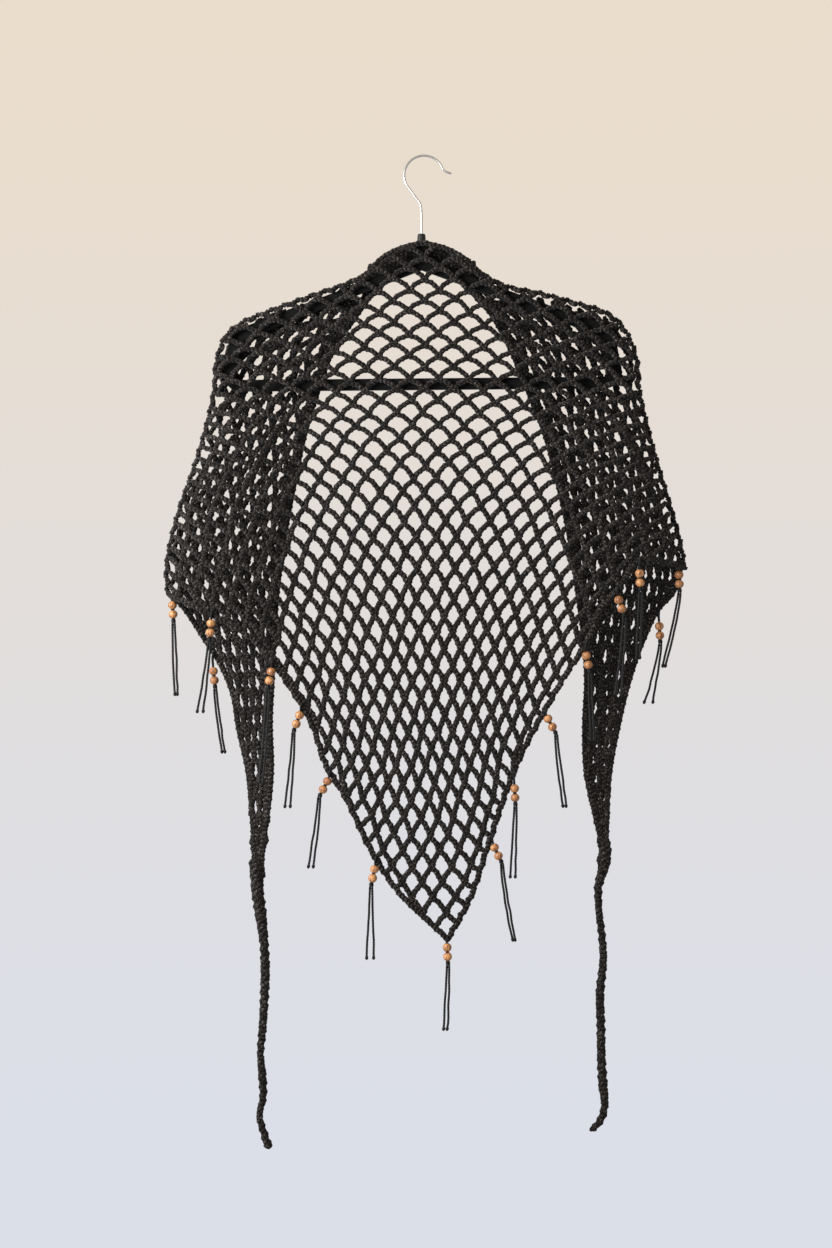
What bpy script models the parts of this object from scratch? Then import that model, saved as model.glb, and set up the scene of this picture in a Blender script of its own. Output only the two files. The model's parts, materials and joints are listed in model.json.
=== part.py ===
# Crocheted mesh shawl hung over a slim flocked hanger.
# Metres, +Z up. The front of the shawl faces -Y, and the origin is the inner crown of the hook,
# where a rail or peg carries the hanger. Tables are in millimetres, X from the hanger's neck.

import math

import bmesh
import bpy
import numpy as np
from mathutils import Matrix, Vector

MM = 0.001

# Driving sizes, in millimetres
NECK_X = -2.65            # the hanger's neck, seen from the hook's crown
SEAM = 0.3                # air between neighbouring pieces
WALL = 4.0                # thickness of the net, which is as thick as its chain
ROLL_WALL = 6.0           # the long edge is rolled double at the neck
FRONT_DEPTH = 8.0         # the body hangs this far in front of the hanger's middle plane
BACK_DEPTH = 9.5          # and the falls this far behind it
FOLD_RADIUS_TOP = 8.0     # over the hanger's arms
FOLD_RADIUS_SIDE = 42.0   # the broad outer folds below the hanger's ends
SIDE_SWELL_FRONT = 18.0   # how much further the sides stand out than the middle
SIDE_SWELL_BACK = 12.0
SWELL_START_Z = -195.0
SWELL_FULL_Z = -330.0
SWELL_INNER_X = 100.0
SWELL_OUTER_X = 205.0
RIM_Y = 0.75              # half the distance between the two folded edges on the crest
NECK_SLOT_DEPTH = 7.6     # the crest opens this far each way round the hook's ferrule
NECK_SLOT_WIDTH = 14.0
GATHERS = 3               # soft gathers down each fall
GATHER_DEPTH = 3.0
NECK_SEAM_X = 50.0        # where the rolled neck meets the falls
ROLL_BOTTOM_Z = -113.0    # the rolled neck's lower edge at the middle
ROLL_SLOPE = 22.0         # and how much lower it is where it meets the falls
BODY_COLUMNS = 20         # columns of the body's wall on each side of its middle
FALL_ROWS = 24            # rows of a fall's wall, from the neck to the tie

HANGER_THICK = 5.5
HANGER_BAND = 12.0
HANGER_TILT = math.radians(0.5)
WIRE_RADIUS = 1.2
HOOK_RADIUS = 21.0
FERRULE_TOP_Z = -82.0
FERRULE_BOTTOM_Z = -94.0
BEAD_RADIUS = 4.75
BEAD_BORE = 1.95
CORD = 1.4                # the side of one waxed cord, drawn with four sides
KNOT_GROWTH = 1.7         # how much wider the knot is than the doubled cord
KNOT_HALF_HEIGHT = 1.6
HEM_PLAY = 0.3            # how clear of the hem a bead hangs, beyond the seam's air
TURNED_HEM_X = 195.0
HEM_PLAY_TURNED = 1.6     # and where the hem turns towards the side

# The outer fold: the shawl's outline from the neck down to its two side corners
FOLD_COLUMNS = ("z", "left", "right")
FOLD = [
    (-89, -1, 4),
    (-93, -19, 22),
    (-106, -44, 47),
    (-123, -60, 65),
    (-133, -77, 80),
    (-146, -112, 130),
    (-156, -140, 166),
    (-166, -167, 196),
    (-176, -190, 209),
    (-190, -207, 219),
    (-212, -216, 227),
    (-250, -220, 231),
    (-290, -229, 240),
    (-330, -241, 251),
    (-370, -255, 263),
    (-410, -266, 274),
    (-438, -270, 279),
]
LEFT_CORNER = (-268, -466)

# The body's hem, a row for each station from the side corners to the bottom point
HEM_COLUMNS = ("left_x", "left_z", "right_x", "right_z")
HEM = [
    (-268, -466, 279, -438),
    (-245, -475, 253, -431),
    (-222, -486, 229, -430),
    (-194, -501, 208, -459),
    (-175, -515, 189, -480),
    (-161, -531, 176, -513),
    (-146, -553, 153, -549),
    (-117, -602, 132, -586),
    (-101, -648, 107, -633),
    (-85, -673, 95, -662),
    (-54, -736, 71, -732),
    (-26, -779, 52, -787),
    (28, -831, 28, -831),
]

# The falls behind: the shawl's long edge, a row for each height
LONG_EDGE_COLUMNS = ("z", "left", "right")
LONG_EDGE = [
    (-135, -51, 52),
    (-167, -70, 76),
    (-200, -93, 94),
    (-245, -110, 113),
    (-290, -124, 131),
    (-345, -136, 146),
    (-405, -147, 159),
    (-466, -155, 168),
    (-510, -158, 174),
    (-555, -160, 177),
    (-600, -162, 175),
    (-655, -160, 176),
    (-700, -163, 184),
    (-735, -167, 190),
]

# The falls' hems, from the side corners to the ties
FALL_HEM_COLUMNS = ("left_x", "left_z", "right_x", "right_z")
FALL_HEM = [
    (-268, -466, 279, -438),
    (-258, -477, 271, -463),
    (-236, -510, 256, -480),
    (-217, -540, 241, -510),
    (-204, -572, 226, -552),
    (-199, -603, 214, -600),
    (-189, -655, 206, -645),
    (-186, -700, 203, -690),
    (-184, -738, 203, -726),
]
TIE_ROOT = {"left": (-169, -183, -771), "right": (189, 202, -751)}   # inner x, outer x, z

# Which height on the outer rim each height on the long edge is joined to. Over the arm the rows
# of the net fan out, and from the shoulder down they are level.
FAN_COLUMNS = ("edge_z", "rim_z")
FAN = [(-111, -111), (-135, -133), (-167, -150), (-200, -166), (-245, -200), (-290, -262),
       (-330, -318), (-360, -360), (-771, -771)]

# The ties, a row for each bend: where the middle runs, and how wide the strip is there
TIE_COLUMNS = ("left_x", "left_z", "left_width", "right_x", "right_z", "right_width")
TIES = [
    (-176, -772.3, 13.0, 196.0, -753.6, 11.0),
    (-172, -804, 12.5, 190, -771, 9.0),
    (-168, -839, 9.0, 189.5, -797, 7.6),
    (-167, -863, 10.0, 193, -828, 7.8),
    (-168, -897, 9.0, 194.5, -850, 8.2),
    (-170, -930, 8.5, 191, -892, 9.2),
    (-172, -955, 7.2, 192, -925, 9.0),
    (-170, -978, 9.0, 192.5, -960, 9.2),
    (-169.5, -1003, 7.6, 194.5, -992, 10.0),
    (-173, -1019, 7.0, 196, -1010, 7.8),
    (-168, -1040, 8.0, 192, -1025, 8.4),
    (-163, -1055, 9.4, 181, -1038, 7.6),
]

# The hem's tassels: where on which edge, how the beads and the cord's two ends hang, and the
# play between the cord and the hem, which is wider where the hem turns towards the side
TASSEL_COLUMNS = ("edge", "x", "lean", "drift", "drop", "spread", "play")
TASSELS = [
    ("body_left", -263.5, 0.6, 3.0, 86, 2.6, -0.9),
    ("body_left", -220.0, -1.0, -10.0, 84, 6.0, -0.5),
    ("fall_left", -223.0, 1.0, 9.0, 78, 2.6, 0.3),
    ("body_left", -157.0, -2.0, -7.0, 108, 3.4, 0.1),
    ("body_left", -127.0, -3.4, -6.5, 89, 5.4, 0.1),
    ("body_left", -97.0, -4.6, -9.0, 84, 5.0, 0.1),
    ("body_left", -48.5, -2.0, -1.0, 86, 8.5, 0.1),
    ("body_left", 27.0, 0.5, -2.6, 78, 4.0, 0.1),
    ("body_right", 75.0, 4.2, 13.0, 91, 2.8, 0.1),
    ("body_right", 98.0, 0.5, -3.0, 85, 5.0, 0.1),
    ("body_right", 131.0, 4.6, 9.5, 86, 4.0, 0.1),
    ("body_right", 172.0, 2.0, 3.0, 80, 3.0, 0.1),
    ("body_right", 205.0, 3.3, -7.0, 91, 5.4, 0.3),
    ("body_right", 228.0, 0.5, -3.0, 80, 3.0, 0.3),
    ("body_right", 272.0, 0.3, -17.0, 88, 2.8, -0.9),
    ("fall_right", 254.0, 0.6, -13.0, 73, 9.0, 0.6),
]

# Colours, roughness and metallic value of each material
FINISHES = {
    "charcoal_yarn": ((0.018, 0.018, 0.020), 0.9, 0.0),
    "black_flock": ((0.008, 0.008, 0.009), 0.95, 0.0),
    "black_plastic": ((0.012, 0.012, 0.012), 0.5, 0.0),
    "chrome_wire": ((0.72, 0.71, 0.69), 0.18, 1.0),
    "turned_wood": ((0.50, 0.21, 0.08), 0.45, 0.0),
    "waxed_cord": ((0.010, 0.010, 0.011), 0.6, 0.0),
}


def clear_scene():
    for old in list(bpy.data.objects):
        bpy.data.objects.remove(old, do_unlink=True)


def make_collection(name):
    group = bpy.data.collections.new(name)
    bpy.context.scene.collection.children.link(group)
    return group


def make_material(name):
    colour, roughness, metallic = FINISHES[name]
    material = bpy.data.materials.get(name) or bpy.data.materials.new(name)
    material.use_nodes = True
    shader = material.node_tree.nodes["Principled BSDF"]
    shader.inputs["Base Color"].default_value = (*colour, 1.0)
    shader.inputs["Roughness"].default_value = roughness
    shader.inputs["Metallic"].default_value = metallic
    return material


def add_object(name, mesh, finish, smooth=True):
    piece = bpy.data.objects.new(name, mesh)
    SHAWL.objects.link(piece)
    mesh.materials.clear()
    mesh.materials.append(make_material(finish))
    if smooth:
        mesh.shade_smooth()
    return piece


def curve_to_mesh(curve, name, finish):
    """A bevelled or filled curve as one welded mesh object."""
    guide = bpy.data.objects.new(name + "_curve", curve)
    SHAWL.objects.link(guide)
    bpy.context.view_layer.update()
    evaluated = guide.evaluated_get(bpy.context.evaluated_depsgraph_get())
    mesh = bpy.data.meshes.new_from_object(evaluated)
    bpy.data.objects.remove(guide, do_unlink=True)
    bm = bmesh.new()
    bm.from_mesh(mesh)
    bmesh.ops.remove_doubles(bm, verts=bm.verts, dist=0.00002)
    bmesh.ops.recalc_face_normals(bm, faces=bm.faces)
    bm.to_mesh(mesh)
    bm.free()
    mesh.name = name
    return add_object(name, mesh, finish, smooth=False)


def world(x, y, z):
    """Millimetres from the neck to metres from the hook's crown."""
    return Vector(((x + NECK_X) * MM, y * MM, z * MM))


def smoothstep(value, start, end):
    t = np.clip((value - start) / (end - start), 0.0, 1.0)
    return t * t * (3.0 - 2.0 * t)


def path_lengths(points):
    steps = np.linalg.norm(np.diff(points, axis=0), axis=1)
    return np.concatenate([[0.0], np.cumsum(steps)])


def along(points, fractions):
    """Points on a smooth curve through the given ones, at fractions of its length."""
    points = np.asarray(points, dtype=float)
    lengths = path_lengths(points)
    slopes = np.gradient(points, lengths, axis=0)
    wanted = np.clip(np.asarray(fractions, dtype=float), 0.0, 1.0) * lengths[-1]
    index = np.clip(np.searchsorted(lengths, wanted, side="right") - 1, 0, len(points) - 2)
    span = (lengths[index + 1] - lengths[index])[:, None]
    t = (wanted - lengths[index])[:, None] / span
    start, end = points[index], points[index + 1]
    start_slope, end_slope = slopes[index] * span, slopes[index + 1] * span
    return ((2 * t**3 - 3 * t**2 + 1) * start + (t**3 - 2 * t**2 + t) * start_slope
            + (3 * t**2 - 2 * t**3) * end + (t**3 - t**2) * end_slope)


def side_table(rows, columns, side):
    """The x and z of one side of a table."""
    if "z" in columns:
        x, z = columns.index(side), columns.index("z")
    else:
        x, z = columns.index(side + "_x"), columns.index(side + "_z")
    return [(row[x], row[z]) for row in rows]


FOLD_LINE = {
    "left": np.array(side_table(FOLD, FOLD_COLUMNS, "left") + [LEFT_CORNER], dtype=float),
    "right": np.array(side_table(FOLD, FOLD_COLUMNS, "right"), dtype=float),
}
CREST = np.concatenate([along(FOLD_LINE["left"], np.linspace(1, 0, 90)),
                        along(FOLD_LINE["right"], np.linspace(0, 1, 90))])
BODY_HEM = {side: np.array(side_table(HEM, HEM_COLUMNS, side), dtype=float)
            for side in ("left", "right")}


def fall_hem(side):
    root = TIE_ROOT[side]
    return np.array(side_table(FALL_HEM, FALL_HEM_COLUMNS, side) + [(root[1], root[2])], dtype=float)


def crest_distance(x, z):
    """How far a place is from the outline that the cloth folds round."""
    place = np.stack([np.asarray(x, dtype=float), np.asarray(z, dtype=float)], axis=-1)
    start, end = CREST[:-1], CREST[1:]
    run = end - start
    size = np.maximum((run * run).sum(axis=1), 1e-9)
    offset = place[..., None, :] - start
    t = np.clip((offset * run).sum(axis=-1) / size, 0.0, 1.0)
    gap = offset - t[..., None] * run
    return np.sqrt((gap * gap).sum(axis=-1)).min(axis=-1)


def fold_radius(z):
    return FOLD_RADIUS_TOP + (FOLD_RADIUS_SIDE - FOLD_RADIUS_TOP) * smoothstep(
        np.asarray(z, dtype=float), SWELL_START_Z, SWELL_FULL_Z)


def layer_y(x, z, side_sign):
    """Depth of the net's middle: in front of the hanger for -1, behind it for +1."""
    x = np.asarray(x, dtype=float)
    z = np.asarray(z, dtype=float)
    depth, swell = ((FRONT_DEPTH, SIDE_SWELL_FRONT) if side_sign < 0
                    else (BACK_DEPTH, SIDE_SWELL_BACK))
    stand = smoothstep(np.abs(x), SWELL_INNER_X, SWELL_OUTER_X)
    full = depth + swell * stand * smoothstep(z, SWELL_START_Z, SWELL_FULL_Z)
    turn = 1.0 - np.minimum(crest_distance(x, z) / fold_radius(z), 1.0)
    rim = RIM_Y + NECK_SLOT_DEPTH * np.exp(-(x / NECK_SLOT_WIDTH) ** 2)
    rim = np.minimum(rim, full)
    return side_sign * (rim + (full - rim) * np.sqrt(1.0 - turn * turn))


def ring_fractions(length, radius, rings, fold_angles=(0, 14, 34, 60, 90)):
    """Where the rings lie down a column: close over the fold, then even."""
    near = [radius * (1.0 - math.cos(math.radians(a))) / length for a in fold_angles]
    limit = 0.45
    scale = min(1.0, limit / max(near[-1], 1e-9))
    near = [f * scale for f in near]
    rest = rings - len(near)
    return near + [near[-1] + (1.0 - near[-1]) * (k + 1) / rest for k in range(rest)]


def grid_mesh(name, places):
    """A sheet through a grid of places, with coinciding places merged."""
    bm = bmesh.new()
    verts = [[bm.verts.new(world(*place)) for place in column] for column in places]
    for left, right in zip(verts, verts[1:]):
        for k in range(len(left) - 1):
            bm.faces.new((left[k], left[k + 1], right[k + 1], right[k]))
    bmesh.ops.remove_doubles(bm, verts=bm.verts, dist=0.00005)
    bmesh.ops.dissolve_degenerate(bm, edges=bm.edges, dist=0.00001)
    bmesh.ops.recalc_face_normals(bm, faces=bm.faces)
    mesh = bpy.data.meshes.new(name)
    bm.to_mesh(mesh)
    bm.free()
    return mesh


def add_wall(name, places, thickness):
    piece = add_object(name, grid_mesh(name, places), "charcoal_yarn")
    wall = piece.modifiers.new("wall", "SOLIDIFY")
    wall.thickness = thickness * MM
    wall.offset = 0.0
    wall.use_even_offset = False
    return piece


def make_body(columns_per_side=BODY_COLUMNS, rings=17):
    """The net that faces the viewer, from the crest to the pointed hem."""
    steps = np.linspace(0.0, 1.0, columns_per_side + 1)
    top_left = along(FOLD_LINE["left"], 1.0 - steps)
    top_right = along(FOLD_LINE["right"], steps)
    low_left = along(BODY_HEM["left"], steps)
    low_right = along(BODY_HEM["right"], 1.0 - steps)
    tops = np.concatenate([top_left, top_right[1:]])
    lows = np.concatenate([low_left, low_right[1:]])
    places = []
    for top, low in zip(tops, lows):
        length = max(float(np.linalg.norm(low - top)), 0.01)
        column = []
        for fraction in ring_fractions(length, float(fold_radius(top[1])), rings):
            x, z = top + (low - top) * fraction
            column.append((x, float(layer_y(x, z, -1)), z))
        places.append(column)
    return add_wall("body", places, WALL)


def fall_rows(side, count=FALL_ROWS):
    """Both ends of each row of a fall: on the long edge, and on the fold or the hem."""
    sign = -1 if side == "left" else 1
    inner_root, outer_root, root_z = TIE_ROOT[side]
    crest = along(FOLD_LINE[side], np.linspace(0, 1, 241))
    crest = crest[int(np.argmax(sign * crest[:, 0] >= NECK_SEAM_X)):]
    long_edge = [tuple(crest[0])] + side_table(LONG_EDGE, LONG_EDGE_COLUMNS, side)
    long_edge = np.array(long_edge + [(inner_root, root_z)], dtype=float)
    edge = along(long_edge, np.linspace(0, 1, 200))
    rim = np.concatenate([crest, along(fall_hem(side), np.linspace(0, 1, 200))[1:]])
    joined = np.array(FAN, dtype=float)
    heights = np.linspace(crest[0][1], root_z, count + 1)
    rim_heights = np.interp(-heights, -joined[:, 0], joined[:, 1])
    rim_heights[0], rim_heights[-1] = crest[0][1], root_z
    inner = np.stack([np.interp(-heights, -edge[:, 1], edge[:, 0]), heights], axis=1)
    outer = np.stack([np.interp(-rim_heights, -rim[:, 1], rim[:, 0]), rim_heights], axis=1)
    return inner, outer


def make_fall(side, rings=15):
    """One corner of the shawl, folded over the arm and gathered down to its tie."""
    inner, outer = fall_rows(side)
    top_z, root_z = inner[0][1], inner[-1][1]
    places = []
    for inside, outside in zip(inner, outer):
        length = max(float(np.linalg.norm(inside - outside)), 0.01)
        depth_down = (top_z - inside[1]) / (top_z - root_z)
        gather = GATHER_DEPTH * float(smoothstep(depth_down, 0.15, 0.4)) * (1.0 - depth_down)
        row = []
        for fraction in ring_fractions(length, float(fold_radius(outside[1])), rings):
            x, z = outside + (inside - outside) * fraction
            y = float(layer_y(x, z, 1)) + gather * math.sin(2.0 * math.pi * GATHERS * fraction)
            row.append((x, y, z))
        places.append(row)
    return add_wall(side + "_fall", places, WALL)


def make_neck_roll(columns=14, rings=7):
    """The rolled long edge behind the neck, between the two falls."""
    places = []
    for x in np.linspace(-NECK_SEAM_X, NECK_SEAM_X, columns + 1):
        side = "left" if x < 0 else "right"
        line = along(FOLD_LINE[side], np.linspace(0, 1, 241))
        order = np.argsort(np.abs(line[:, 0]))
        top_z = float(np.interp(abs(x), np.abs(line[order, 0]), line[order, 1]))
        low_z = ROLL_BOTTOM_Z - (abs(x) / NECK_SEAM_X) ** 2 * ROLL_SLOPE
        column = []
        for fraction in np.concatenate([[0.0, 0.012, 0.07, 0.2], np.linspace(0.4, 1.0, rings - 3)]):
            z = top_z + (low_z - top_z) * fraction
            column.append((x, float(layer_y(x, z, 1)), z))
        places.append(column)
    return add_wall("neck_roll", places, ROLL_WALL)


def make_tie(side, points=34):
    """A long narrow crocheted end, a tube along its bends."""
    columns = [TIE_COLUMNS.index(side + name) for name in ("_x", "_z", "_width")]
    rows = np.array([[row[c] for c in columns] for row in TIES], dtype=float)
    hanging_y = float(layer_y(rows[0, 0], rows[0, 1], 1))
    route = along(rows[:, :2], np.linspace(0.0, 1.0, points))
    lengths = path_lengths(rows[:, :2])
    widths = np.interp(np.linspace(0, lengths[-1], points), lengths, rows[:, 2])
    curve = bpy.data.curves.new(side + "_tie", "CURVE")
    curve.dimensions = "3D"
    curve.bevel_depth = 0.5 * MM
    curve.bevel_resolution = 2
    curve.use_fill_caps = True
    spline = curve.splines.new("POLY")
    spline.points.add(points - 1)
    for point, (x, z), width in zip(spline.points, route, widths):
        point.co = (*world(x, hanging_y, z), 1.0)
        point.radius = width
    return curve_to_mesh(curve, side + "_tie", "charcoal_yarn")


def rounded(corners, steps=6):
    """A polyline whose corners, each with its own radius, are turned into arcs."""
    out = [Vector(corners[0][:2])]
    for before, corner, after in zip(corners, corners[1:], corners[2:]):
        here = Vector(corner[:2])
        back = (Vector(before[:2]) - here).normalized()
        ahead = (Vector(after[:2]) - here).normalized()
        half = back.angle(ahead) / 2
        reach = corner[2] / math.tan(half)
        start, end = here + back * reach, here + ahead * reach
        middle = here + (back + ahead).normalized() * (corner[2] / math.sin(half))
        first, last = start - middle, end - middle
        sweep = first.angle_signed(last)
        for k in range(steps + 1):
            angle = -sweep * k / steps
            turned = Vector((first.x * math.cos(angle) - first.y * math.sin(angle),
                             first.x * math.sin(angle) + first.y * math.cos(angle)))
            out.append(middle + turned)
    out.append(Vector(corners[-1][:2]))
    return out


def shifted(line, distance):
    """A polyline moved sideways to its left."""
    out = []
    for k, point in enumerate(line):
        ahead = line[min(k + 1, len(line) - 1)] - line[max(k - 1, 0)]
        normal = Vector((-ahead.y, ahead.x)).normalized()
        out.append(point + normal * distance)
    return out


def make_hanger_frame():
    """The flocked one-piece frame: two arms and a trouser bar round an open triangle."""
    half = HANGER_BAND / 2
    neck_half = 6.0
    arm_top_z = -114.5
    middle = rounded([
        (0.0, arm_top_z, 0.0),
        (196.0, arm_top_z - 0.375 * 196.0, 20.0),
        (208.0, -241.0, 12.0),
        (0.0, -241.0, 0.0),
    ])
    outer = shifted(middle, half)
    inner = shifted(middle, -half)
    outer[0].x = 0.0
    outer[-1].x = 0.0
    inner[0].x = 0.0
    inner[-1].x = 0.0
    slope = (outer[1].y - outer[0].y) / outer[1].x
    root = Vector((neck_half, outer[0].y + slope * neck_half))
    neck = [Vector((neck_half, FERRULE_BOTTOM_Z - SEAM)), root]
    right = neck + outer[1:]
    loop_out = right + [Vector((-p.x, p.y)) for p in reversed(right) if abs(p.x) > 1e-6]
    loop_in = inner + [Vector((-p.x, p.y)) for p in reversed(inner) if abs(p.x) > 1e-6]
    curve = bpy.data.curves.new("hanger_frame", "CURVE")
    curve.dimensions = "2D"
    curve.fill_mode = "BOTH"
    curve.extrude = HANGER_THICK / 2 * MM
    pivot = Vector((0.0, FERRULE_BOTTOM_Z))
    for loop in (loop_out, loop_in):
        spline = curve.splines.new("POLY")
        spline.points.add(len(loop) - 1)
        spline.use_cyclic_u = True
        for point, place in zip(spline.points, loop):
            arm = place - pivot
            x = arm.x * math.cos(HANGER_TILT) - arm.y * math.sin(HANGER_TILT)
            z = arm.x * math.sin(HANGER_TILT) + arm.y * math.cos(HANGER_TILT)
            point.co = ((pivot.x + x + NECK_X) * MM, (pivot.y + z) * MM, 0.0, 1.0)
    piece = curve_to_mesh(curve, "hanger_frame", "black_flock")
    piece.data.transform(upright())
    return piece


def upright():
    """Turns a drawing in X and Y so that it stands in X and Z."""
    return Matrix.Rotation(math.radians(90.0), 4, "X")


def turned_piece(name, profile, finish, steps, centre):
    """A closed ring profile of radius and height, turned about an upright axis."""
    bm = bmesh.new()
    verts = [bm.verts.new((radius * MM, 0.0, height * MM)) for radius, height in profile]
    for a, b in zip(verts, verts[1:] + verts[:1]):
        bm.edges.new((a, b))
    mesh = bpy.data.meshes.new(name)
    bm.to_mesh(mesh)
    bm.free()
    piece = add_object(name, mesh, finish)
    piece.location = centre
    screw = piece.modifiers.new("turn", "SCREW")
    screw.steps = steps
    screw.render_steps = steps
    screw.use_merge_vertices = True
    screw.merge_threshold = 0.00001
    return piece


def make_ferrule():
    """The plastic collar that the hook's wire is pushed into."""
    bore = WIRE_RADIUS + 0.15
    bore_floor = FERRULE_TOP_Z - 6.0
    profile = [(bore, FERRULE_TOP_Z), (3.6, FERRULE_TOP_Z), (4.2, FERRULE_TOP_Z - 1.2),
               (4.8, FERRULE_BOTTOM_Z), (0.6, FERRULE_BOTTOM_Z), (0.6, bore_floor),
               (bore, bore_floor)]
    return turned_piece("hanger_ferrule", profile, "black_plastic", 16, world(0.0, 0.0, 0.0))


def make_hook():
    """The wire hook: a straight shank, a crook and an outward-turned tip."""
    crook_x = -NECK_X
    crook_z = WIRE_RADIUS - HOOK_RADIUS
    shank_foot = FERRULE_TOP_Z - 5.7
    route = [(0.0, shank_foot), (0.0, -70.0), (-0.2, -58.0), (-1.4, -50.0), (-6.0, -43.5)]
    start, end, steps = math.radians(222.0), math.radians(18.0), 20
    for k in range(steps + 1):
        angle = start + (end - start) * k / steps
        route.append((crook_x + HOOK_RADIUS * math.cos(angle),
                      crook_z + HOOK_RADIUS * math.sin(angle)))
    route += [(crook_x + 23.2, crook_z + 4.0), (crook_x + 29.0, crook_z + 2.0)]
    curve = bpy.data.curves.new("hanger_hook", "CURVE")
    curve.dimensions = "3D"
    curve.bevel_depth = WIRE_RADIUS * MM
    curve.bevel_resolution = 2
    curve.use_fill_caps = True
    spline = curve.splines.new("POLY")
    smooth_route = along(np.array(route), np.linspace(0, 1, 44))
    spline.points.add(len(smooth_route) - 1)
    for point, (x, z) in zip(spline.points, smooth_route):
        point.co = (*world(x, 0.0, z), 1.0)
    return curve_to_mesh(curve, "hanger_hook", "chrome_wire")


def edge_line(edge):
    """The wall's own lower edge that a tassel hangs from, as close places in x, y and z."""
    part, side = edge.split("_")
    if part == "body":
        flat = along(BODY_HEM[side], np.linspace(0.0, 1.0, BODY_COLUMNS + 1))
        depth = layer_y(flat[:, 0], flat[:, 1], -1)
    else:
        flat = fall_rows(side)[1]
        flat = flat[flat[:, 1] <= fall_hem(side)[0][1]]
        depth = layer_y(flat[:, 0], flat[:, 1], 1)
    places = np.stack([flat[:, 0], depth, flat[:, 1]], axis=1)
    stations = np.arange(len(places), dtype=float)
    close = np.linspace(0.0, len(places) - 1, 601)
    return np.stack([np.interp(close, stations, places[:, k]) for k in range(3)], axis=1)


def pair_ring(centre, growth=1.0):
    """Six places round two cords that lie side by side."""
    x, y, z = centre
    wide, deep = CORD * growth, CORD / 2 * growth
    return [world(x + dx * wide, y + dy * deep, z)
            for dx, dy in ((-1, -1), (0, -1), (1, -1), (1, 1), (0, 1), (-1, 1))]


def single_ring(centre, half):
    """Four places round one cord."""
    x, y, z = centre
    return [world(x + dx * half, y + dy * half, z) for dx, dy in ((-1, -1), (1, -1), (1, 1), (-1, 1))]


def bridge(bm, upper, lower):
    """Side faces between two rings, the upper one first."""
    count = len(upper)
    for k in range(count):
        bm.faces.new((upper[k], lower[k], lower[(k + 1) % count], upper[(k + 1) % count]))


def clear_of_line(place, line, reach):
    gaps = np.linalg.norm(line[:, [0, 2]] - np.asarray(place), axis=1)
    return gaps.min() >= reach


def tassel_layout(row):
    """Where a tassel's stem, beads, knot and ends are, hanging plumb from the hem."""
    tassel = dict(zip(TASSEL_COLUMNS, row))
    line = edge_line(tassel["edge"])
    index = int(np.argmin(np.abs(line[:, 0] - tassel["x"])))
    hem = line[index][[0, 2]]
    y = float(line[index][1])
    turned = tassel["edge"].startswith("fall") or abs(hem[0]) > TURNED_HEM_X
    step = 2 * BEAD_RADIUS + SEAM
    axis = np.array([tassel["lean"], -math.sqrt(step**2 - tassel["lean"] ** 2)]) / step
    margin = SEAM + (HEM_PLAY_TURNED if turned else HEM_PLAY)
    drop = BEAD_RADIUS * 0.2
    while True:
        hole = hem + np.array([0.0, -drop])
        upper = hole + axis * (BEAD_RADIUS + 0.2)
        lower = upper + axis * step
        if all(clear_of_line(place, line, BEAD_RADIUS + margin) for place in (upper, lower)):
            break
        drop += 0.2
    stem_drop = 0.2
    stem_reach = CORD + SEAM + tassel["play"]
    while not clear_of_line(hem + np.array([0.0, -stem_drop]), line, stem_reach):
        stem_drop += 0.1
    stem_top = hem + np.array([0.0, -min(stem_drop, drop + 0.5)])
    knot = lower + axis * (BEAD_RADIUS + KNOT_HALF_HEIGHT + 0.4)
    return tassel, y, axis, stem_top, upper, lower, knot


def make_tassel_cord(name, layout, bends=6):
    """The doubled cord through the beads, its knot, and its two free ends."""
    tassel, y, axis, stem_top, upper, lower, knot = layout
    bm = bmesh.new()
    mouth = upper - axis * (BEAD_RADIUS - 0.4)
    stops = [(stem_top, 1.0), (mouth, 1.0), (lower + axis * (BEAD_RADIUS - 0.4), 1.0),
             (knot - axis * KNOT_HALF_HEIGHT, KNOT_GROWTH * 0.8), (knot, KNOT_GROWTH),
             (knot + axis * KNOT_HALF_HEIGHT, KNOT_GROWTH * 0.8)]
    rings = []
    for (x, z), growth in stops:
        rings.append([bm.verts.new(p) for p in pair_ring((x, y, z), growth)])
    for above, below in zip(rings, rings[1:]):
        bridge(bm, above, below)
    first = rings[0]
    bm.faces.new((first[0], first[1], first[4], first[5]))
    bm.faces.new((first[1], first[2], first[3], first[4]))
    base = rings[-1]
    roots = {-1: (base[0], base[1], base[4], base[5]), 1: (base[1], base[2], base[3], base[4])}
    foot = knot + axis * KNOT_HALF_HEIGHT
    for side, root in roots.items():
        above = list(root)
        for k in range(1, bends + 1):
            t = k / bends
            bow = math.sin(math.pi * t) * 1.2
            apart = CORD * 0.62 + (tassel["spread"] / 2 - CORD * 0.62) * t + bow
            x = foot[0] + tassel["drift"] * t**1.3 + side * max(apart, CORD * 0.62)
            z = foot[1] - (tassel["drop"] - BEAD_RADIUS - 2 * KNOT_HALF_HEIGHT) * t
            below = [bm.verts.new(p) for p in single_ring((x, y, z), CORD / 2)]
            bridge(bm, above, below)
            above = below
        bm.faces.new(above)
    bmesh.ops.recalc_face_normals(bm, faces=bm.faces)
    mesh = bpy.data.meshes.new(name)
    bm.to_mesh(mesh)
    bm.free()
    return add_object(name, mesh, "waxed_cord", smooth=False)


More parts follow.
